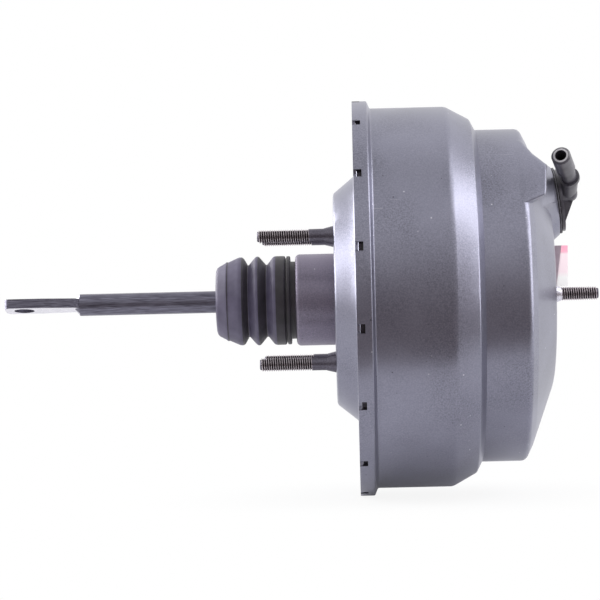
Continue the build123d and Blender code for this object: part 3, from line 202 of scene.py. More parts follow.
def worn_steel(name, pale, deep, rough, metallic, grain_mm, stretch):
    """Steel, drawn, turned or phosphated: grain of one width, longer along X by stretch."""
    material, tree, shader = new_material(name)
    where = add_node(tree, "ShaderNodeTexCoord").outputs["Object"]
    drawn = add_node(tree, "ShaderNodeMapping", {"Vector": where, "Scale": (1 / stretch, 1.0, 1.0)})
    grain = add_node(tree, "ShaderNodeTexNoise", {
        "Vector": drawn.outputs["Vector"], "Scale": per_metre(grain_mm), "Detail": 3.0})
    shade = add_node(tree, "ShaderNodeMapRange", {
        "Value": grain.outputs["Fac"], "From Min": 0.3, "From Max": 0.7})
    skin = add_node(tree, "ShaderNodeMix", {
        "Factor": shade.outputs["Result"], "A": linear(deep), "B": linear(pale)}, data_type="RGBA")
    tree.links.new(skin.outputs["Result"], shader.inputs["Base Color"])
    gloss = add_node(tree, "ShaderNodeMapRange", {
        "Value": grain.outputs["Fac"], "To Min": rough + 0.10, "To Max": rough - 0.10})
    tree.links.new(gloss.outputs["Result"], shader.inputs["Roughness"])
    relief = add_node(tree, "ShaderNodeBump", {
        "Height": grain.outputs["Fac"], "Strength": 0.3, "Distance": 0.03 * MM})
    tree.links.new(relief.outputs["Normal"], shader.inputs["Normal"])
    shader.inputs["Metallic"].default_value = metallic
    return material


def moulded(name, pale, deep, rough, grain_mm, sheen=0.0):
    """Moulded rubber, plastic or felt: even colour with a fine bloom and a faintly grained skin."""
    material, tree, shader = new_material(name)
    where = add_node(tree, "ShaderNodeTexCoord").outputs["Object"]
    bloom = add_node(tree, "ShaderNodeTexNoise", {
        "Vector": where, "Scale": per_metre(12 * grain_mm), "Detail": 4.0})
    shade = add_node(tree, "ShaderNodeMapRange", {
        "Value": bloom.outputs["Fac"], "From Min": 0.3, "From Max": 0.7})
    skin = add_node(tree, "ShaderNodeMix", {
        "Factor": shade.outputs["Result"], "A": linear(deep), "B": linear(pale)}, data_type="RGBA")
    tree.links.new(skin.outputs["Result"], shader.inputs["Base Color"])
    grain = add_node(tree, "ShaderNodeTexNoise", {
        "Vector": where, "Scale": per_metre(grain_mm), "Detail": 2.0})
    gloss = add_node(tree, "ShaderNodeMapRange", {
        "Value": grain.outputs["Fac"], "To Min": rough - 0.06, "To Max": rough + 0.06})
    tree.links.new(gloss.outputs["Result"], shader.inputs["Roughness"])
    relief = add_node(tree, "ShaderNodeBump", {
        "Height": grain.outputs["Fac"], "Strength": 0.3, "Distance": 0.04 * MM})
    tree.links.new(relief.outputs["Normal"], shader.inputs["Normal"])
    shader.inputs["Sheen Weight"].default_value = sheen
    return material


def split_rubber(name, pale, deep, at, way):
    """Rubber moulded in a stack that has dried and split: frayed bands along a line from at."""
    material, tree, shader = new_material(name)
    where = add_node(tree, "ShaderNodeTexCoord").outputs["Object"]
    offset = add_node(tree, "ShaderNodeVectorMath", {0: where, 1: at}, operation="SUBTRACT")
    along = add_node(tree, "ShaderNodeVectorMath", {
        0: offset.outputs["Vector"], 1: way}, operation="DOT_PRODUCT")
    fray = add_node(tree, "ShaderNodeTexNoise", {
        "Vector": where, "Scale": per_metre(FRAY), "Detail": 3.0})
    shifted = add_node(tree, "ShaderNodeMath", {
        0: fray.outputs["Fac"], 1: FRAY_REACH * MM, 2: along.outputs["Value"]},
        operation="MULTIPLY_ADD")
    band = add_node(tree, "ShaderNodeMath", {
        0: shifted.outputs[0], 1: 2 * pi / (LAYER * MM)}, operation="MULTIPLY")
    wave = add_node(tree, "ShaderNodeMath", {0: band.outputs[0]}, operation="SINE")
    grit = add_node(tree, "ShaderNodeTexNoise", {
        "Vector": where, "Scale": per_metre(GRIT), "Detail": 3.0})
    mixed = add_node(tree, "ShaderNodeMath", {
        0: wave.outputs[0], 1: 0.45, 2: grit.outputs["Fac"]}, operation="MULTIPLY_ADD")
    layer = add_node(tree, "ShaderNodeMapRange", {
        "Value": mixed.outputs[0], "From Min": 0.25, "From Max": 0.95})
    skin = add_node(tree, "ShaderNodeMix", {
        "Factor": layer.outputs["Result"], "A": linear(deep), "B": linear(pale)}, data_type="RGBA")
    tree.links.new(skin.outputs["Result"], shader.inputs["Base Color"])
    relief = add_node(tree, "ShaderNodeBump", {
        "Height": mixed.outputs[0], "Strength": 0.8, "Distance": 0.15 * MM})
    tree.links.new(relief.outputs["Normal"], shader.inputs["Normal"])
    shader.inputs["Roughness"].default_value = 0.7
    return material


def shaded_card(name, top, middle, bottom):
    """Coated card printed in one colour at the top, with a tint that fades out further down."""
    material, tree, shader = new_material(name)
    where = add_node(tree, "ShaderNodeTexCoord").outputs["Object"]
    height = add_node(tree, "ShaderNodeSeparateXYZ", {0: where}).outputs["Z"]
    band = add_node(tree, "ShaderNodeMapRange", {
        "Value": height, "From Min": PRINT_SPAN[0] * MM, "From Max": PRINT_SPAN[1] * MM},
        interpolation_type="SMOOTHSTEP")
    fade = add_node(tree, "ShaderNodeMapRange", {
        "Value": height, "From Min": TINT_SPAN[0] * MM, "From Max": TINT_SPAN[1] * MM})
    faded = add_node(tree, "ShaderNodeMix", {
        "Factor": fade.outputs["Result"], "A": linear(bottom), "B": linear(middle)},
        data_type="RGBA")
    printed = add_node(tree, "ShaderNodeMix", {
        "Factor": band.outputs["Result"], "A": faded.outputs["Result"], "B": linear(top)},
        data_type="RGBA")
    tree.links.new(printed.outputs["Result"], shader.inputs["Base Color"])
    pulp = add_node(tree, "ShaderNodeTexNoise", {
        "Vector": where, "Scale": per_metre(PULP), "Detail": 3.0})
    relief = add_node(tree, "ShaderNodeBump", {
        "Height": pulp.outputs["Fac"], "Strength": 0.3, "Distance": 0.05 * MM})
    tree.links.new(relief.outputs["Normal"], shader.inputs["Normal"])
    shader.inputs["Roughness"].default_value = 0.8
    return material


# sprayed over the pressed shells: a satin sheen that goes dark where the dim room shows in it
shell_enamel = silver_enamel("satin_silver_enamel", "#9595a5", "#858595", 0.32, 0.8)
# the same enamel, rubbed thin and brownish where the boot sits on the hub
hub_enamel = silver_enamel("rubbed_hub_enamel", "#9e98ab", "#7f7787", 0.44, 0.72)
# sheared edges of the windows, bare dark steel, and the crimped rim behind them: dark, dull steel, also painted
# shade inside the windows and the skirt
cut_edge_and_shade = worn_steel("sheared_edge_and_painted_shade", "#4a4650", "#2b282f", 0.55, 0.6, 1.0, 1)
# dark phosphate with oil in it; on the threads, nearly black in the roots and near white on the crests
stud_steel = worn_steel("phosphated_steel", "#77737f", "#57545f", 0.38, 0.8, 0.8, 1)
thread_roots = worn_steel("dark_thread_roots", "#3b3538", "#262225", 0.50, 0.6, 0.6, 1)
thread_crests = worn_steel("pale_thread_crests", "#eee6ea", "#c0b5bc", 0.30, 0.9, 0.6, 1)
# drawn bar, blued by handling: long faint lines along it
rod_steel = worn_steel("drawn_steel", "#858393", "#4f4d5a", 0.34, 0.75, 0.7, 16)
# machined and left bare, and painted near white as a highlight: bright, with fine lines
bare_steel_highlight = worn_steel("machined_steel_painted_highlight", "#eceaf4", "#cbc9d6", 0.28, 0.85, 0.5, 8)
# yellowish grey zinc with a faint spangle
zinc_plate = worn_steel("zinc_plated_steel", "#b9b4a6", "#97938a", 0.35, 0.85, 1.5, 1)
# oil-tempered wire: even, dull silver
spring_wire = worn_steel("spring_wire", "#8e8e93", "#6c6c72", 0.33, 0.9, 0.5, 1)
# EPDM rubber, moulded: bluish black with a soft bloom
boot_rubber = moulded("moulded_boot_rubber", "#6a657c", "#565168", 0.50, 0.9)
# painted shade on the folds' sides that face +X and on the neck in its groove: the same rubber, nearly black
boot_rubber_painted_shade = moulded("boot_rubber_painted_shade", "#3f3b42", "#2f2c31", 0.45, 0.9)
# nitrile rubber: blacker, less bloom
black_rubber = moulded("black_nitrile_rubber", "#2c2a2e", "#1f1d20", 0.50, 0.8)
# glass-filled nylon: dark grey, slightly fibrous
valve_plastic = moulded("glass_filled_nylon", "#605e66", "#49474f", 0.30, 0.7)
# the same nylon, painted pale as a highlight on the chamfer round the nipple's bore
nylon_painted_highlight = moulded("glass_filled_nylon_painted_highlight", "#d9d8dc", "#a5a3a9", 0.35, 0.7)
# uncoloured nylon: waxy off-white
natural_nylon = moulded("natural_nylon", "#cfcab8", "#bdb7a4", 0.45, 0.8)
# phenolic resin: dark brown, hard sheen
phenolic = moulded("moulded_phenolic", "#3b2a22", "#2c1f19", 0.40, 0.8)
# needled felt: matt, fibrous
felt = moulded("needled_felt", "#6f6c67", "#4d4b48", 0.95, 0.7, sheen=0.4)
# coated card in painted shade: dull mauve on the leaf inside the fold, though it is the flap's white card
tag_card_painted_shade = moulded("mauve_card_painted_shade", "#cdbcc6", "#b7a5b0", 0.85, 0.6)
# the same card's printed side: pink at the top, nearly white below
flap_card = shaded_card("pink_card", "#ffb4cc", "#fdeaf1", "#fafafa")
# the grommet's rubber, gone dry and grey in layers
layered_rubber = split_rubber("layered_dry_rubber", "#7d7b83", "#19181b", valve_at, valve_way)

SLOT_MATERIALS = {
    "shell_paint": shell_enamel,
    "plated_steel": zinc_plate,
    "dark_steel": stud_steel,
    "rod_steel": rod_steel,
    "spring_steel": spring_wire,
    "rubber": black_rubber,
    "boot_rubber": boot_rubber,
    "nylon": natural_nylon,
    "phenolic": phenolic,
    "black_plastic": valve_plastic,
    "felt": felt,
    "paper": tag_card_painted_shade,
}


# ---- Building pieces ---------------------------------------------------------------------------
def finish_mesh(bm, name, materials, sharp=35.0, smooth=True):
    """Turn a bmesh into a shaded object, with its edges sharper than sharp degrees kept crisp."""
    for face in bm.faces:
        face.smooth = smooth
    for edge in bm.edges:
        edge.smooth = len(edge.link_faces) == 2 and edge.calc_face_angle() < radians(sharp)
    mesh = bpy.data.meshes.new(name)
    bm.to_mesh(mesh)
    bm.free()
    for material in materials:
        mesh.materials.append(material)
    piece = bpy.data.objects.new(name, mesh)
    bpy.context.scene.collection.objects.link(piece)
    weigh = piece.modifiers.new("weighted_normals", "WEIGHTED_NORMAL")
    weigh.keep_sharp = True
    return piece


def stand_for(piece, *nodes):
    """The piece shows in place of these nodes, which are hidden."""
    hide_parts(*nodes)
    return piece


def box_mm(node):
    """A node's lowest and highest corners in mm."""
    low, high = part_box(node)
    return low / MM, high / MM


def merged_copy(node):
    """A bmesh of one node's solid with its loose triangles joined up."""
    bm = bmesh.new()
    bm.from_mesh(frame["nodes"][node].data)
    bmesh.ops.remove_doubles(bm, verts=bm.verts, dist=0.002 * MM)
    bmesh.ops.dissolve_degenerate(bm, dist=0.001 * MM, edges=bm.edges)
    return bm


def dressed(node, sharp=30.0, finishes=()):
    """One rigid node again, smoothly shaded, on its own body.

    Each (material, test) of finishes goes to the faces whose middle in mm and normal pass the test.
    """
    bm = merged_copy(node)
    for face in bm.faces:
        middle = face.calc_center_median() / MM
        for index, (material, test) in enumerate(finishes, 1):
            if test(middle, face.normal):
                face.material_index = index
    materials = [SLOT_MATERIALS[slot_of[node]]] + [material for material, test in finishes]
    piece = finish_mesh(bm, f"{node}_dressed", materials, sharp)
    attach(piece, body_of[node])
    return stand_for(piece, node)


def turned(bm, outline, centre=(0.0, 0.0), steps=96):
    """Turn a closed outline of (x, radius) points in mm about a line along X through centre."""
    y, z = centre
    corners = [bm.verts.new((x * MM, y, z + r * MM)) for x, r in outline]
    sides = [bm.edges.new(pair) for pair in zip(corners, corners[1:] + corners[:1])]
    bmesh.ops.spin(
        bm, geom=corners + sides, cent=(0, y, z), axis=(1, 0, 0), dvec=(0, 0, 0), angle=2 * pi,
        steps=steps, use_merge=True, use_normal_flip=False, use_duplicate=False)


def outward(bm):
    """Join doubles, close poles and point every face outwards."""
    bmesh.ops.remove_doubles(bm, verts=bm.verts, dist=0.001 * MM)
    bmesh.ops.dissolve_degenerate(bm, dist=0.0005 * MM, edges=bm.edges)
    bmesh.ops.recalc_face_normals(bm, faces=bm.faces)


def add_thread(bm, start, end, radius, pitch, centre, crest, steps=28):
    """A closed screw thread along X between two stations in mm.

    Its crests get the material slot crest, and its roots the one before it.
    """
    y, z = centre
    depth = 0.61 * pitch
    low, high = min(start, end), max(start, end)
    turns = int((high - low) / pitch) + 3
    first = low - 1.5 * pitch
    tooth = [
        (0.0, -depth), (0.10, -depth), (0.25, -0.55 * depth), (0.42, 0.0),
        (0.58, 0.0), (0.75, -0.55 * depth), (0.90, -depth), (1.0, -depth),
    ]
    own = bmesh.new()
    corners = [
        own.verts.new(((first + t * pitch) * MM, y, z + (radius + d) * MM)) for t, d in tooth]
    sides = [own.edges.new(pair) for pair in zip(corners, corners[1:])]
    bmesh.ops.spin(
        own, geom=corners + sides, cent=(0, y, z), axis=(1, 0, 0),
        dvec=(pitch / steps * MM, 0, 0), angle=2 * pi * turns, steps=steps * turns,
        use_merge=False, use_normal_flip=False, use_duplicate=False)
    bmesh.ops.remove_doubles(own, verts=own.verts, dist=0.004 * MM)
    for face in own.faces:
        middle = face.calc_center_median()
        reach = Vector((middle.y - y, middle.z - z)).length / MM
        face.material_index = crest if reach > radius - 0.45 * depth else crest - 1
    for station, way in ((low, -1), (high, 1)):
        parts = own.verts[:] + own.edges[:] + own.faces[:]
        cut = bmesh.ops.bisect_plane(
            own, geom=parts, plane_co=(station * MM, y, z), plane_no=(way, 0, 0), clear_outer=True)
        rim = [g for g in cut["geom_cut"] if isinstance(g, bmesh.types.BMEdge)]
        bmesh.ops.contextual_create(own, geom=rim, mat_nr=crest - 1)
    bmesh.ops.recalc_face_normals(own, faces=own.faces)
    holder = bpy.data.meshes.new("thread")
    own.to_mesh(holder)
    own.free()
    bm.from_mesh(holder)
    bpy.data.meshes.remove(holder)


# ---- Shells ------------------------------------------------------------------------------------
SKIRT_LIP_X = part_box("front_shell")[0].x / MM
LANCE_REACH = 9.5  # from the lip to the front of the windows
RIM_RADIUS, SKIRT_RADIUS = 137.5, 142.9
HUB_START_X = -0.5
SIDEWAYS = 60  # a normal with less than this much of the radius in it is a cut edge's


def in_lance(at, way):
    """True on the cut edges of the windows in the skirt."""
    reach = Vector(at.yz)
    near = at.x < SKIRT_LIP_X + LANCE_REACH and RIM_RADIUS < reach.length < SKIRT_RADIUS
    return near and abs(reach.dot(way.yz)) < SIDEWAYS


def on_crimp(at, way):
    """True on the outer edge of the rear shell's rim, behind the windows."""
    reach = Vector(at.yz)
    return reach.length > RIM_RADIUS and RIM_RADIUS * reach.normalized().dot(way.yz) > SIDEWAYS


# painted shade: the windows' cut edges and the rim inside the skirt get the dark steel
dressed("front_shell", finishes=[(cut_edge_and_shade, in_lance)])
dressed("rear_shell", finishes=[
    (hub_enamel, lambda at, way: at.x < HUB_START_X), (cut_edge_and_shade, on_crimp)])

# ---- Studs, with rolled 3/8-16 threads ---------------------------------------------------------
STUD_RADIUS = 4.7625
STUD_PITCH = 25.4 / 16
COLLAR_RADIUS = 6.5
STUD_FINISHES = [stud_steel, thread_roots, thread_crests, bare_steel_highlight]
CREST, BARE_HIGHLIGHT = 2, 3


def stud_piece(bm, node, bare):
    """The studs of one node, joined up; shank faces whose x in mm passes bare() get bare steel painted near white
    as a highlight.
    """
    outward(bm)
    for face in bm.faces:
        if face.material_index == 0:
            middle = face.calc_center_median() / MM
            face.material_index = BARE_HIGHLIGHT if bare(middle.x) else 0
    piece = finish_mesh(bm, f"threaded_{node}", STUD_FINISHES)
    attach(piece, body_of[node])
    return stand_for(piece, node)


head_low, head_high = box_mm("firewall_studs")
plate_low, plate_high = box_mm("stud_plate")
spacing = mounts["firewall_studs"]["dims"]
half_y, half_z = spacing["spacing_x_mm"] / 2, spacing["spacing_y_mm"] / 2
THREAD_END = -17.0
bm = bmesh.new()
for y in (-half_y, half_y):
    for z in (-half_z, half_z):
        centre = (y * MM, z * MM)
        turned(bm, [
            (head_high.x, 0), (head_high.x, 7.2), (head_high.x - 0.3, 7.5), (plate_high.x, 7.5),
            (plate_high.x, STUD_RADIUS), (plate_low.x, STUD_RADIUS), (plate_low.x, COLLAR_RADIUS),
            (0, COLLAR_RADIUS), (-0.8, 6.4), (-6.4, 5.0), (-7.0, STUD_RADIUS),
            (THREAD_END - 0.2, STUD_RADIUS - 0.05), (THREAD_END - 0.2, 0),
        ], centre, steps=48)
        add_thread(bm, THREAD_END, head_low.x + 1.3, STUD_RADIUS, STUD_PITCH, centre, CREST)
        turned(bm, [
            (head_low.x + 1.6, 0), (head_low.x + 1.6, 3.75), (head_low.x + 0.5, 3.7),
            (head_low.x, 3.2), (head_low.x, 0),
        ], centre, steps=48)
stud_piece(bm, "firewall_studs", lambda x: False)

flange_low, flange_high = box_mm("cylinder_studs")
nose_low, nose_high = box_mm("nose_plate")
half_pcd = mounts["master_cylinder_studs"]["dims"]["pcd_mm"] / 2
face_x = mounts["master_cylinder_studs"]["pos_m"][0] / MM
bm = bmesh.new()
for y in (-half_pcd, half_pcd):
    centre = (y * MM, 0.0)
    turned(bm, [
        (flange_low.x, 0), (flange_low.x, 7.5), (nose_low.x, 7.5), (nose_low.x, STUD_RADIUS),
        (nose_high.x, STUD_RADIUS), (nose_high.x, COLLAR_RADIUS), (face_x, COLLAR_RADIUS),
        (face_x + 4.2, 4.9), (face_x + 4.5, STUD_RADIUS - 0.1), (face_x + 5.2, STUD_RADIUS - 0.1),
        (face_x + 5.2, 0),
    ], centre, steps=48)
    add_thread(bm, face_x + 5.0, flange_high.x - 1.3, STUD_RADIUS, STUD_PITCH, centre, CREST)
    turned(bm, [
        (flange_high.x - 1.6, 0), (flange_high.x - 1.6, 3.75), (flange_high.x - 0.4, 3.7),
        (flange_high.x, 3.2), (flange_high.x, 0),
    ], centre, steps=48)
# the bare stretch of shank in front of the face is painted near white as a highlight
stud_piece(bm, "cylinder_studs", lambda x: face_x < x < face_x + 5)

# ---- Flanks of the valve's boss, pressed flush with the small drum over a hollow ---------------
FLANK_FOOT = (
    (124.5, -103.9, 60.0), (132.5, -102.7, 63.1), (140.0, -101.0, 66.0), (147.5, -98.8, 69.1))
FLANK_TOP = (
    (125.0, 0.0, 117.5), (134.5, 0.0, 112.5), (142.0, 0.0, 102.2), (156.8, 0.0, 93.6))
BOSS_Z = 72.0
TOP_FALL = 1820.0  # how far out the flat top would come down to the axis
FLANK_SKIRT = 0.3  # how far the grid goes on under the foot's edge, as a share of its height
SKIRT_DROP = (6.0, 8.0)  # of that part, along X and towards the booster's axis
FLANK_END = 0.2  # how far it goes on past the front edge, as a share of its length
END_X = 152.0
END_CLOSING = 0.7  # how far that part closes in on the boss's middle
FLANK_STEPS = 54
FLANK_ROUNDING = 3


def part_way(points, share):
    """The point at a share of the way along an evenly stepped line."""
    step = min(int(share * (len(points) - 1)), len(points) - 2)
    return Vector(points[step]).lerp(Vector(points[step + 1]), share * (len(points) - 1) - step)


def flank_point(forward, upward):
    """A point of the near flank in mm; both shares run from 0 to 1 over the whole grid."""
    share = forward * (1 + FLANK_END)
    over = max(share - 1, 0.0) / FLANK_END
    share = min(share, 1.0)
    rise = upward * (1 + FLANK_SKIRT) - FLANK_SKIRT
    up = max(rise, 0.0)
    down = max(-rise, 0.0) / FLANK_SKIRT * min(share * 2, 1)
    foot, top = part_way(FLANK_FOOT, share), part_way(FLANK_TOP, share)
    angle = atan2(foot.z, foot.y) * (1 - up) + pi / 2 * up
    reach = Vector(foot.yz).length - SKIRT_DROP[1] * down
    x = foot.x * (1 - up) + top.x * up - SKIRT_DROP[0] * down
    x += (END_X - x) * over
    y = reach * cos(angle)
    z = min(reach * sin(angle), top.z * (1 + y / TOP_FALL))
    kept = 1 - END_CLOSING * over
    return Vector((x, y * kept, BOSS_Z + (z - BOSS_Z) * kept))


bm = bmesh.new()
bmesh.ops.create_grid(bm, x_segments=FLANK_STEPS, y_segments=FLANK_STEPS, size=0.5)
for vertex in bm.verts:
    vertex.co = flank_point(vertex.co.x + 0.5, vertex.co.y + 0.5) * MM
for _ in range(FLANK_ROUNDING):
    bmesh.ops.smooth_vert(
        bm, verts=bm.verts, factor=0.5, use_axis_x=True, use_axis_y=True, use_axis_z=True)
whole = bm.verts[:] + bm.edges[:] + bm.faces[:]
bmesh.ops.mirror(bm, geom=whole, axis="Y", merge_dist=0.1 * MM)
outward(bm)
flanks = finish_mesh(bm, "boss_flanks", [shell_enamel], sharp=80.0)
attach(flanks, "shell")

# ---- Dust boot ---------------------------------------------------------------------------------
boot_low, boot_high = box_mm("dust_boot")
BOOT_SKIN = [
    (boot_low.x + 0.3, 12.0), (boot_low.x, 12.5), (boot_low.x, 22.6), (boot_low.x + 0.7, 24.3),
    (boot_low.x + 2.0, 25.4), (-79.4, 27.9), (-78.9, 28.5), (-78.0, 28.8), (-77.3, 28.5),
    (-70.6, 31.5), (-69.0, 32.0), (-67.2, 32.0), (-65.8, 31.0), (-63.2, 26.4), (-62.8, 26.1),
    (-62.2, 26.4), (-57.7, 31.6), (-56.6, 32.3), (-55.4, 32.3), (-54.4, 31.6), (-50.0, 26.4),
    (-49.4, 26.1), (-48.8, 26.4), (-45.0, 31.2), (-44.0, 32.0), (-42.6, 32.3), (-37.0, 32.3),
    (-36.0, 32.0), (-35.6, 30.6), (-35.1, 30.6), (-34.8, 31.9), (-34.2, 32.1), (-32.8, 32.1),
    (-32.2, 31.7), (-32.2, 28.1),
]
PAINTED_SHADE_SLOPE = 0.25  # of the folds' front sides, as the normal's X
PAINTED_SHADE_NECK_X = -43.0
BOOT_INSIDE = [
    (-26.0, 28.1), (-25.9, 30.0), (-25.0, 29.9), (-23.6, 28.0), (-23.6, 25.8), (-36.0, 29.4),
    (-43.4, 29.6), (-49.4, 24.0), (-55.9, 29.6), (-62.8, 24.0), (-67.4, 29.4), (-70.0, 29.2),
    (-82.0, 23.4), (-84.0, 21.8), (-84.0, 12.3), (-84.4, 12.0),
]
bm = bmesh.new()
turned(bm, BOOT_SKIN + BOOT_INSIDE, steps=128)
outward(bm)
# painted shade: the folds' front sides and the neck get the nearly black copy of the rubber
for face in bm.faces:
    if face.normal.x > PAINTED_SHADE_SLOPE or face.calc_center_median().x > PAINTED_SHADE_NECK_X * MM:
        face.material_index = 1
boot = finish_mesh(bm, "pleated_boot", [boot_rubber, boot_rubber_painted_shade], sharp=70.0)
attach(boot, "shell")
stand_for(boot, "dust_boot")


def follow(piece):
    """Give a soft piece a mesh of its own."""
    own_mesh(piece)


follow(boot)

# ---- Pedal rod, check valve and the other rigid pieces -----------------------------------------
BLADE_END_X = box_mm("pedal_rod")[0].x + 75.0
# the blade's flat faces get bare steel painted near white as a reflection
dressed("pedal_rod", finishes=[
    (bare_steel_highlight, lambda at, way: at.x < BLADE_END_X and abs(way.z) > 0.5)])
for node in (
        "rod_clip", "rod_spring_seat", "adjusting_screw", "front_seal", "front_seal_ring",
        "hub_seal", "centre_seal", "poppet", "poppet_spring", "air_filter", "silencer",
        "reaction_disc"):
    dressed(node)
valve_body = dressed("valve_body")

# The grommet's flange shows its layers on every side but its two flat faces.
dressed("valve_grommet", finishes=[(layered_rubber, lambda at, way: abs(way.dot(valve_way)) < 0.8)])

# Chamfer round the nipple's bore, painted pale as a highlight
NIPPLE_CHAMFER = [(0.12, 4.15), (0.12, 5.35), (-0.1, 5.5), (-0.4, 5.3), (-0.9, 4.25), (-0.6, 4.0)]
nipple = mounts["vacuum_nipple"]
nipple_way = Vector(nipple["axis"]).normalized()
nipple_at = Vector(nipple["pos_m"])
reach = max((vertex.co - nipple_at).dot(nipple_way) for vertex in valve_body.data.vertices)
mouth = nipple_at + nipple_way * reach
bm = bmesh.new()
turned(bm, NIPPLE_CHAMFER, steps=48)
outward(bm)
turn = Vector((1, 0, 0)).rotation_difference(nipple_way).to_matrix().to_4x4()
bm.transform(Matrix.Translation(mouth) @ turn)
mouth_ring = finish_mesh(bm, "nipple_chamfer", [nylon_painted_highlight], sharp=60.0)
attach(mouth_ring, "check_valve")

# ---- Springs and diaphragms, which follow the piston -------------------------------------------
def sprung(node):
    """A coil spring, dressed and given a mesh of its own."""
    follow(dressed(node, sharp=60.0))


sprung("return_spring")
sprung("rod_return_spring")

lift = joints["check_lift"]
lift_way = Vector(lift["axis"]).normalized()
check_spring = dressed("check_spring", sharp=60.0)
reach = [lift_way.dot(vertex.co) for vertex in check_spring.data.vertices]
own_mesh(check_spring)


def rolling_diaphragm(node, cut_radius):
    """A diaphragm in two pieces: outside cut_radius it stays in place, inside it rides on the piston."""
    def kept(outer):
        bm = merged_copy(node)
        gone = [
            face for face in bm.faces
            if (Vector(face.calc_center_median().yz).length > cut_radius * MM) != outer]
        bmesh.ops.delete(bm, geom=gone, context="FACES")
        rims = [edge for edge in bm.edges if len(edge.link_faces) == 1]
        bmesh.ops.bridge_loops(bm, edges=rims)
        bmesh.ops.recalc_face_normals(bm, faces=bm.faces)
        return bm

    sleeve = finish_mesh(kept(True), f"{node}_sleeve", [black_rubber])
    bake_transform(sleeve)
    disc = finish_mesh(kept(False), f"{node}_disc", [black_rubber])
    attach(disc, "piston")
    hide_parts(node)


rolling_diaphragm("rear_diaphragm", cut_radius=131.0)
rolling_diaphragm("front_diaphragm", cut_radius=114.4)

# ---- Folded card tag ---------------------------------------------------------------------------
TAG_TOP, TAG_BOTTOM = 35.0, 5.5
CARD_THICKNESS = 0.35
FLAP_CURL = 0.5
TAG_EDGES = [  # top and bottom of the back edge, the fold and the free edge, as (x, y)
    ((158.2, -8.0), (158.2, -8.0)), ((164.2, -8.0), (160.2, -8.0)), ((169.0, -4.4), (168.6, -4.4))]
bm = bmesh.new()
bmesh.ops.create_grid(bm, x_segments=12, y_segments=14, size=0.5)
for vert in bm.verts:
    across, down = (vert.co.x + 0.5) * 2, 0.5 - vert.co.y
    side = min(int(across), 1)
    near, far = (Vector(top).lerp(Vector(bottom), down) for top, bottom in TAG_EDGES[side:side + 2])
    at = near.lerp(far, across - side)
    curl = FLAP_CURL * sin(pi * down) * max(across - 1, 0)
    vert.co = Vector((at.x, at.y + curl, TAG_TOP + (TAG_BOTTOM - TAG_TOP) * down)) * MM
fold_x = (TAG_EDGES[1][0][0], TAG_EDGES[1][1][0])
# the leaf behind the fold gets the card in painted shade, the flap the printed card
for face in bm.faces:
    at = face.calc_center_median() / MM
    down = (TAG_TOP - at.z) / (TAG_TOP - TAG_BOTTOM)
    face.material_index = int(at.x > fold_x[0] + (fold_x[1] - fold_x[0]) * down)
bmesh.ops.recalc_face_normals(bm, faces=bm.faces)
bmesh.ops.solidify(bm, geom=bm.faces[:], thickness=CARD_THICKNESS * MM)
tag = finish_mesh(bm, "folded_tag", [tag_card_painted_shade, flap_card])
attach(tag, "shell")
stand_for(tag, "paper_tag")

# ---- Pieces inside the closed shells keep their solids -----------------------------------------
for node, solid in frame["nodes"].items():
    if not solid.hide_render:
        solid.data.materials.clear()
        solid.data.materials.append(SLOT_MATERIALS[slot_of[node]])

# ---- Studio ------------------------------------------------------------------------------------
PIXEL = 0.728 * MM  # on the booster's axis
LENS_PIXELS = 2500  # from the lens to the axis
FRAME_PIXELS = 600
YAW = 0.0212
ROLL = radians(1.35)
AIM = Vector((-25.7 * MM, 0, 0))
camera_data = bpy.data.cameras.new("studio_camera")
camera_data.sensor_width = 36
camera_data.lens = 36 * LENS_PIXELS / FRAME_PIXELS
camera_data.clip_end = 20
camera = bpy.data.objects.new("studio_camera", camera_data)
bpy.context.scene.collection.objects.link(camera)
bpy.context.scene.camera = camera
forward = Vector((-sin(YAW), cos(YAW), 0))
level = Vector((cos(YAW), sin(YAW), 0))
right = level * cos(ROLL) - Vector((0, 0, 1)) * sin(ROLL)
up = Vector((0, 0, 1)) * cos(ROLL) + level * sin(ROLL)
turn = Matrix((right, up, -forward)).transposed()
camera.matrix_world = Matrix.Translation(AIM - forward * LENS_PIXELS * PIXEL) @ turn.to_4x4()


def ray_kinds(tree):
    """Two sockets: 1 for rays from the eye, and 1 for rays by way of a mirror or glass."""
    rays = add_node(tree, "ShaderNodeLightPath")
    mirrored = add_node(tree, "ShaderNodeMath", {
        0: rays.outputs["Is Glossy Ray"], 1: rays.outputs["Is Transmission Ray"]},
        operation="MAXIMUM")
    return rays.outputs["Is Camera Ray"], mirrored.outputs[0]


# A sheet of white paper under the skirt. It ends in front of the booster, so that its edge and the
# dim room beyond it show in the enamel. To the eye it is white with a faint shadow.
FLOOR_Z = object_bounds()[0][2] - 0.5 * MM
FLOOR_FRONT = -0.245
FLOOR_SPAN = 6.0
FLOOR_MIDDLE_X = 0.06
bm = bmesh.new()
bmesh.ops.create_grid(bm, x_segments=8, y_segments=8, size=FLOOR_SPAN)
bmesh.ops.translate(bm, verts=bm.verts, vec=(0, FLOOR_SPAN + FLOOR_FRONT, FLOOR_Z))
paper_white, tree, shader = new_material("floor_paper")
floor = finish_mesh(bm, "studio_floor", [paper_white], smooth=False)
shader.inputs["Base Color"].default_value = linear("#e2e2e4")
shader.inputs["Roughness"].default_value = 0.9
where = add_node(tree, "ShaderNodeTexCoord").outputs["Object"]
reach = add_node(tree, "ShaderNodeVectorMath", {
    0: where, 1: (FLOOR_MIDDLE_X, 0.0, FLOOR_Z)}, operation="DISTANCE")
shadow = add_node(tree, "ShaderNodeMapRange", {
    "Value": reach.outputs["Value"], "From Min": 0.06, "From Max": 0.22,
    "To Min": 0.90, "To Max": 1.0},
    interpolation_type="SMOOTHSTEP")
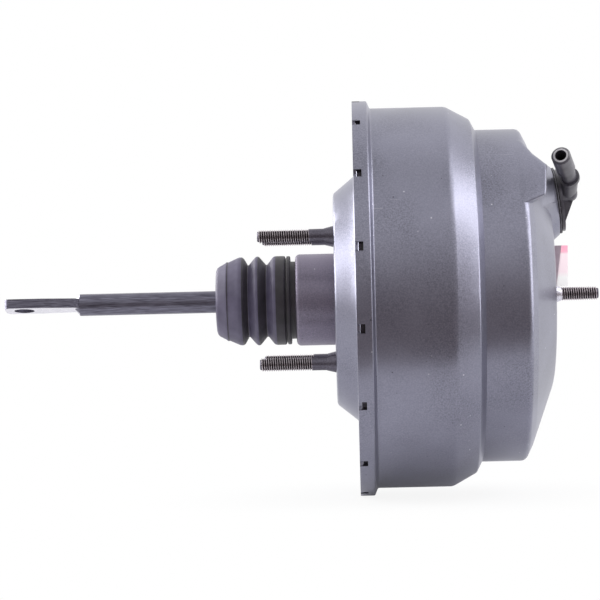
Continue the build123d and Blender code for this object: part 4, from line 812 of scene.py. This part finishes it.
image = add_node(tree, "ShaderNodeMapRange", {
    "Value": reach.outputs["Value"], "From Min": 0.17, "From Max": 0.38,
    "To Min": 0.15, "To Max": 1.0},
    interpolation_type="SMOOTHSTEP")
seen, mirrored = ray_kinds(tree)
imaged = add_node(tree, "ShaderNodeMath", {
    0: mirrored, 1: image.outputs["Result"]}, operation="MULTIPLY")
share = add_node(tree, "ShaderNodeMath", {
    0: seen, 1: shadow.outputs["Result"], 2: imaged.outputs[0]}, operation="MULTIPLY_ADD")
glow = add_node(tree, "ShaderNodeEmission", {"Color": linear("#ffffff"), "Strength": 1.0})
blend = add_node(tree, "ShaderNodeMixShader", {
    0: share.outputs[0], 1: shader.outputs["BSDF"], 2: glow.outputs[0]})
output = next(n for n in tree.nodes if n.type == "OUTPUT_MATERIAL")
tree.links.new(blend.outputs[0], output.inputs["Surface"])

# A white backdrop behind the booster and a dim, slightly warm room on the side of the camera
world = bpy.data.worlds.new("studio_tent")
bpy.context.scene.world = world
world.use_nodes = True
tree = world.node_tree
tree.nodes.clear()
way = add_node(tree, "ShaderNodeTexCoord").outputs["Generated"]
split = add_node(tree, "ShaderNodeSeparateXYZ", {0: way})
height = add_node(tree, "ShaderNodeMapRange", {
    "Value": split.outputs["Z"], "From Min": -0.15, "From Max": 0.80},
    interpolation_type="SMOOTHSTEP")
room = add_node(tree, "ShaderNodeMix", {
    "Factor": height.outputs["Result"], "A": (0.225, 0.190, 0.190, 1), "B": (0.95, 0.95, 0.95, 1)},
    data_type="RGBA")
overhead = add_node(tree, "ShaderNodeMapRange", {
    "Value": split.outputs["Z"], "From Min": 0.80, "From Max": 1.0, "To Min": 1.0, "To Max": 0.55})
dimmed = add_node(tree, "ShaderNodeVectorMath", {
    0: room.outputs["Result"], "Scale": overhead.outputs["Result"]}, operation="SCALE")
rear = add_node(tree, "ShaderNodeMapRange", {
    "Value": split.outputs["Y"], "From Min": -0.30, "From Max": 0.35},
    interpolation_type="SMOOTHSTEP")
seen, mirrored = ray_kinds(tree)
backdrop = add_node(tree, "ShaderNodeMix", {
    "Factor": mirrored, "A": (0.8, 0.8, 0.8, 1), "B": (1, 1, 1, 1)}, data_type="RGBA")
tent = add_node(tree, "ShaderNodeMix", {
    "Factor": rear.outputs["Result"], "A": dimmed.outputs["Vector"],
    "B": backdrop.outputs["Result"]}, data_type="RGBA")
shown = add_node(tree, "ShaderNodeMix", {
    "Factor": seen, "A": tent.outputs["Result"], "B": (1, 1, 1, 1)}, data_type="RGBA")
back = add_node(tree, "ShaderNodeBackground", {"Color": shown.outputs["Result"], "Strength": 1.0})
add_node(tree, "ShaderNodeOutputWorld", {"Surface": back.outputs[0]})


def softbox(name, place, size, radiance):
    """A rectangular lamp that faces the booster; a radiance of 1 looks as bright as white paper."""
    data = bpy.data.lights.new(name, "AREA")
    data.shape = "RECTANGLE"
    data.size, data.size_y = size
    data.energy = radiance * pi * size[0] * size[1]
    lamp = bpy.data.objects.new(name, data)
    bpy.context.scene.collection.objects.link(lamp)
    lamp.location = place
    lamp.rotation_mode = "QUATERNION"
    lamp.rotation_quaternion = (-Vector(place)).to_track_quat("-Z", "Y")


softbox("right_softbox", place=(1.30, -0.10, 0.48), size=(1.1, 1.35), radiance=2.7)
softbox("left_softbox", place=(-1.25, 0.45, 0.42), size=(1.6, 0.9), radiance=5.0)
softbox("top_softbox", place=(0.80, -0.30, 1.10), size=(0.8, 0.8), radiance=1.3)

bpy.context.scene.view_settings.view_transform = "Standard"
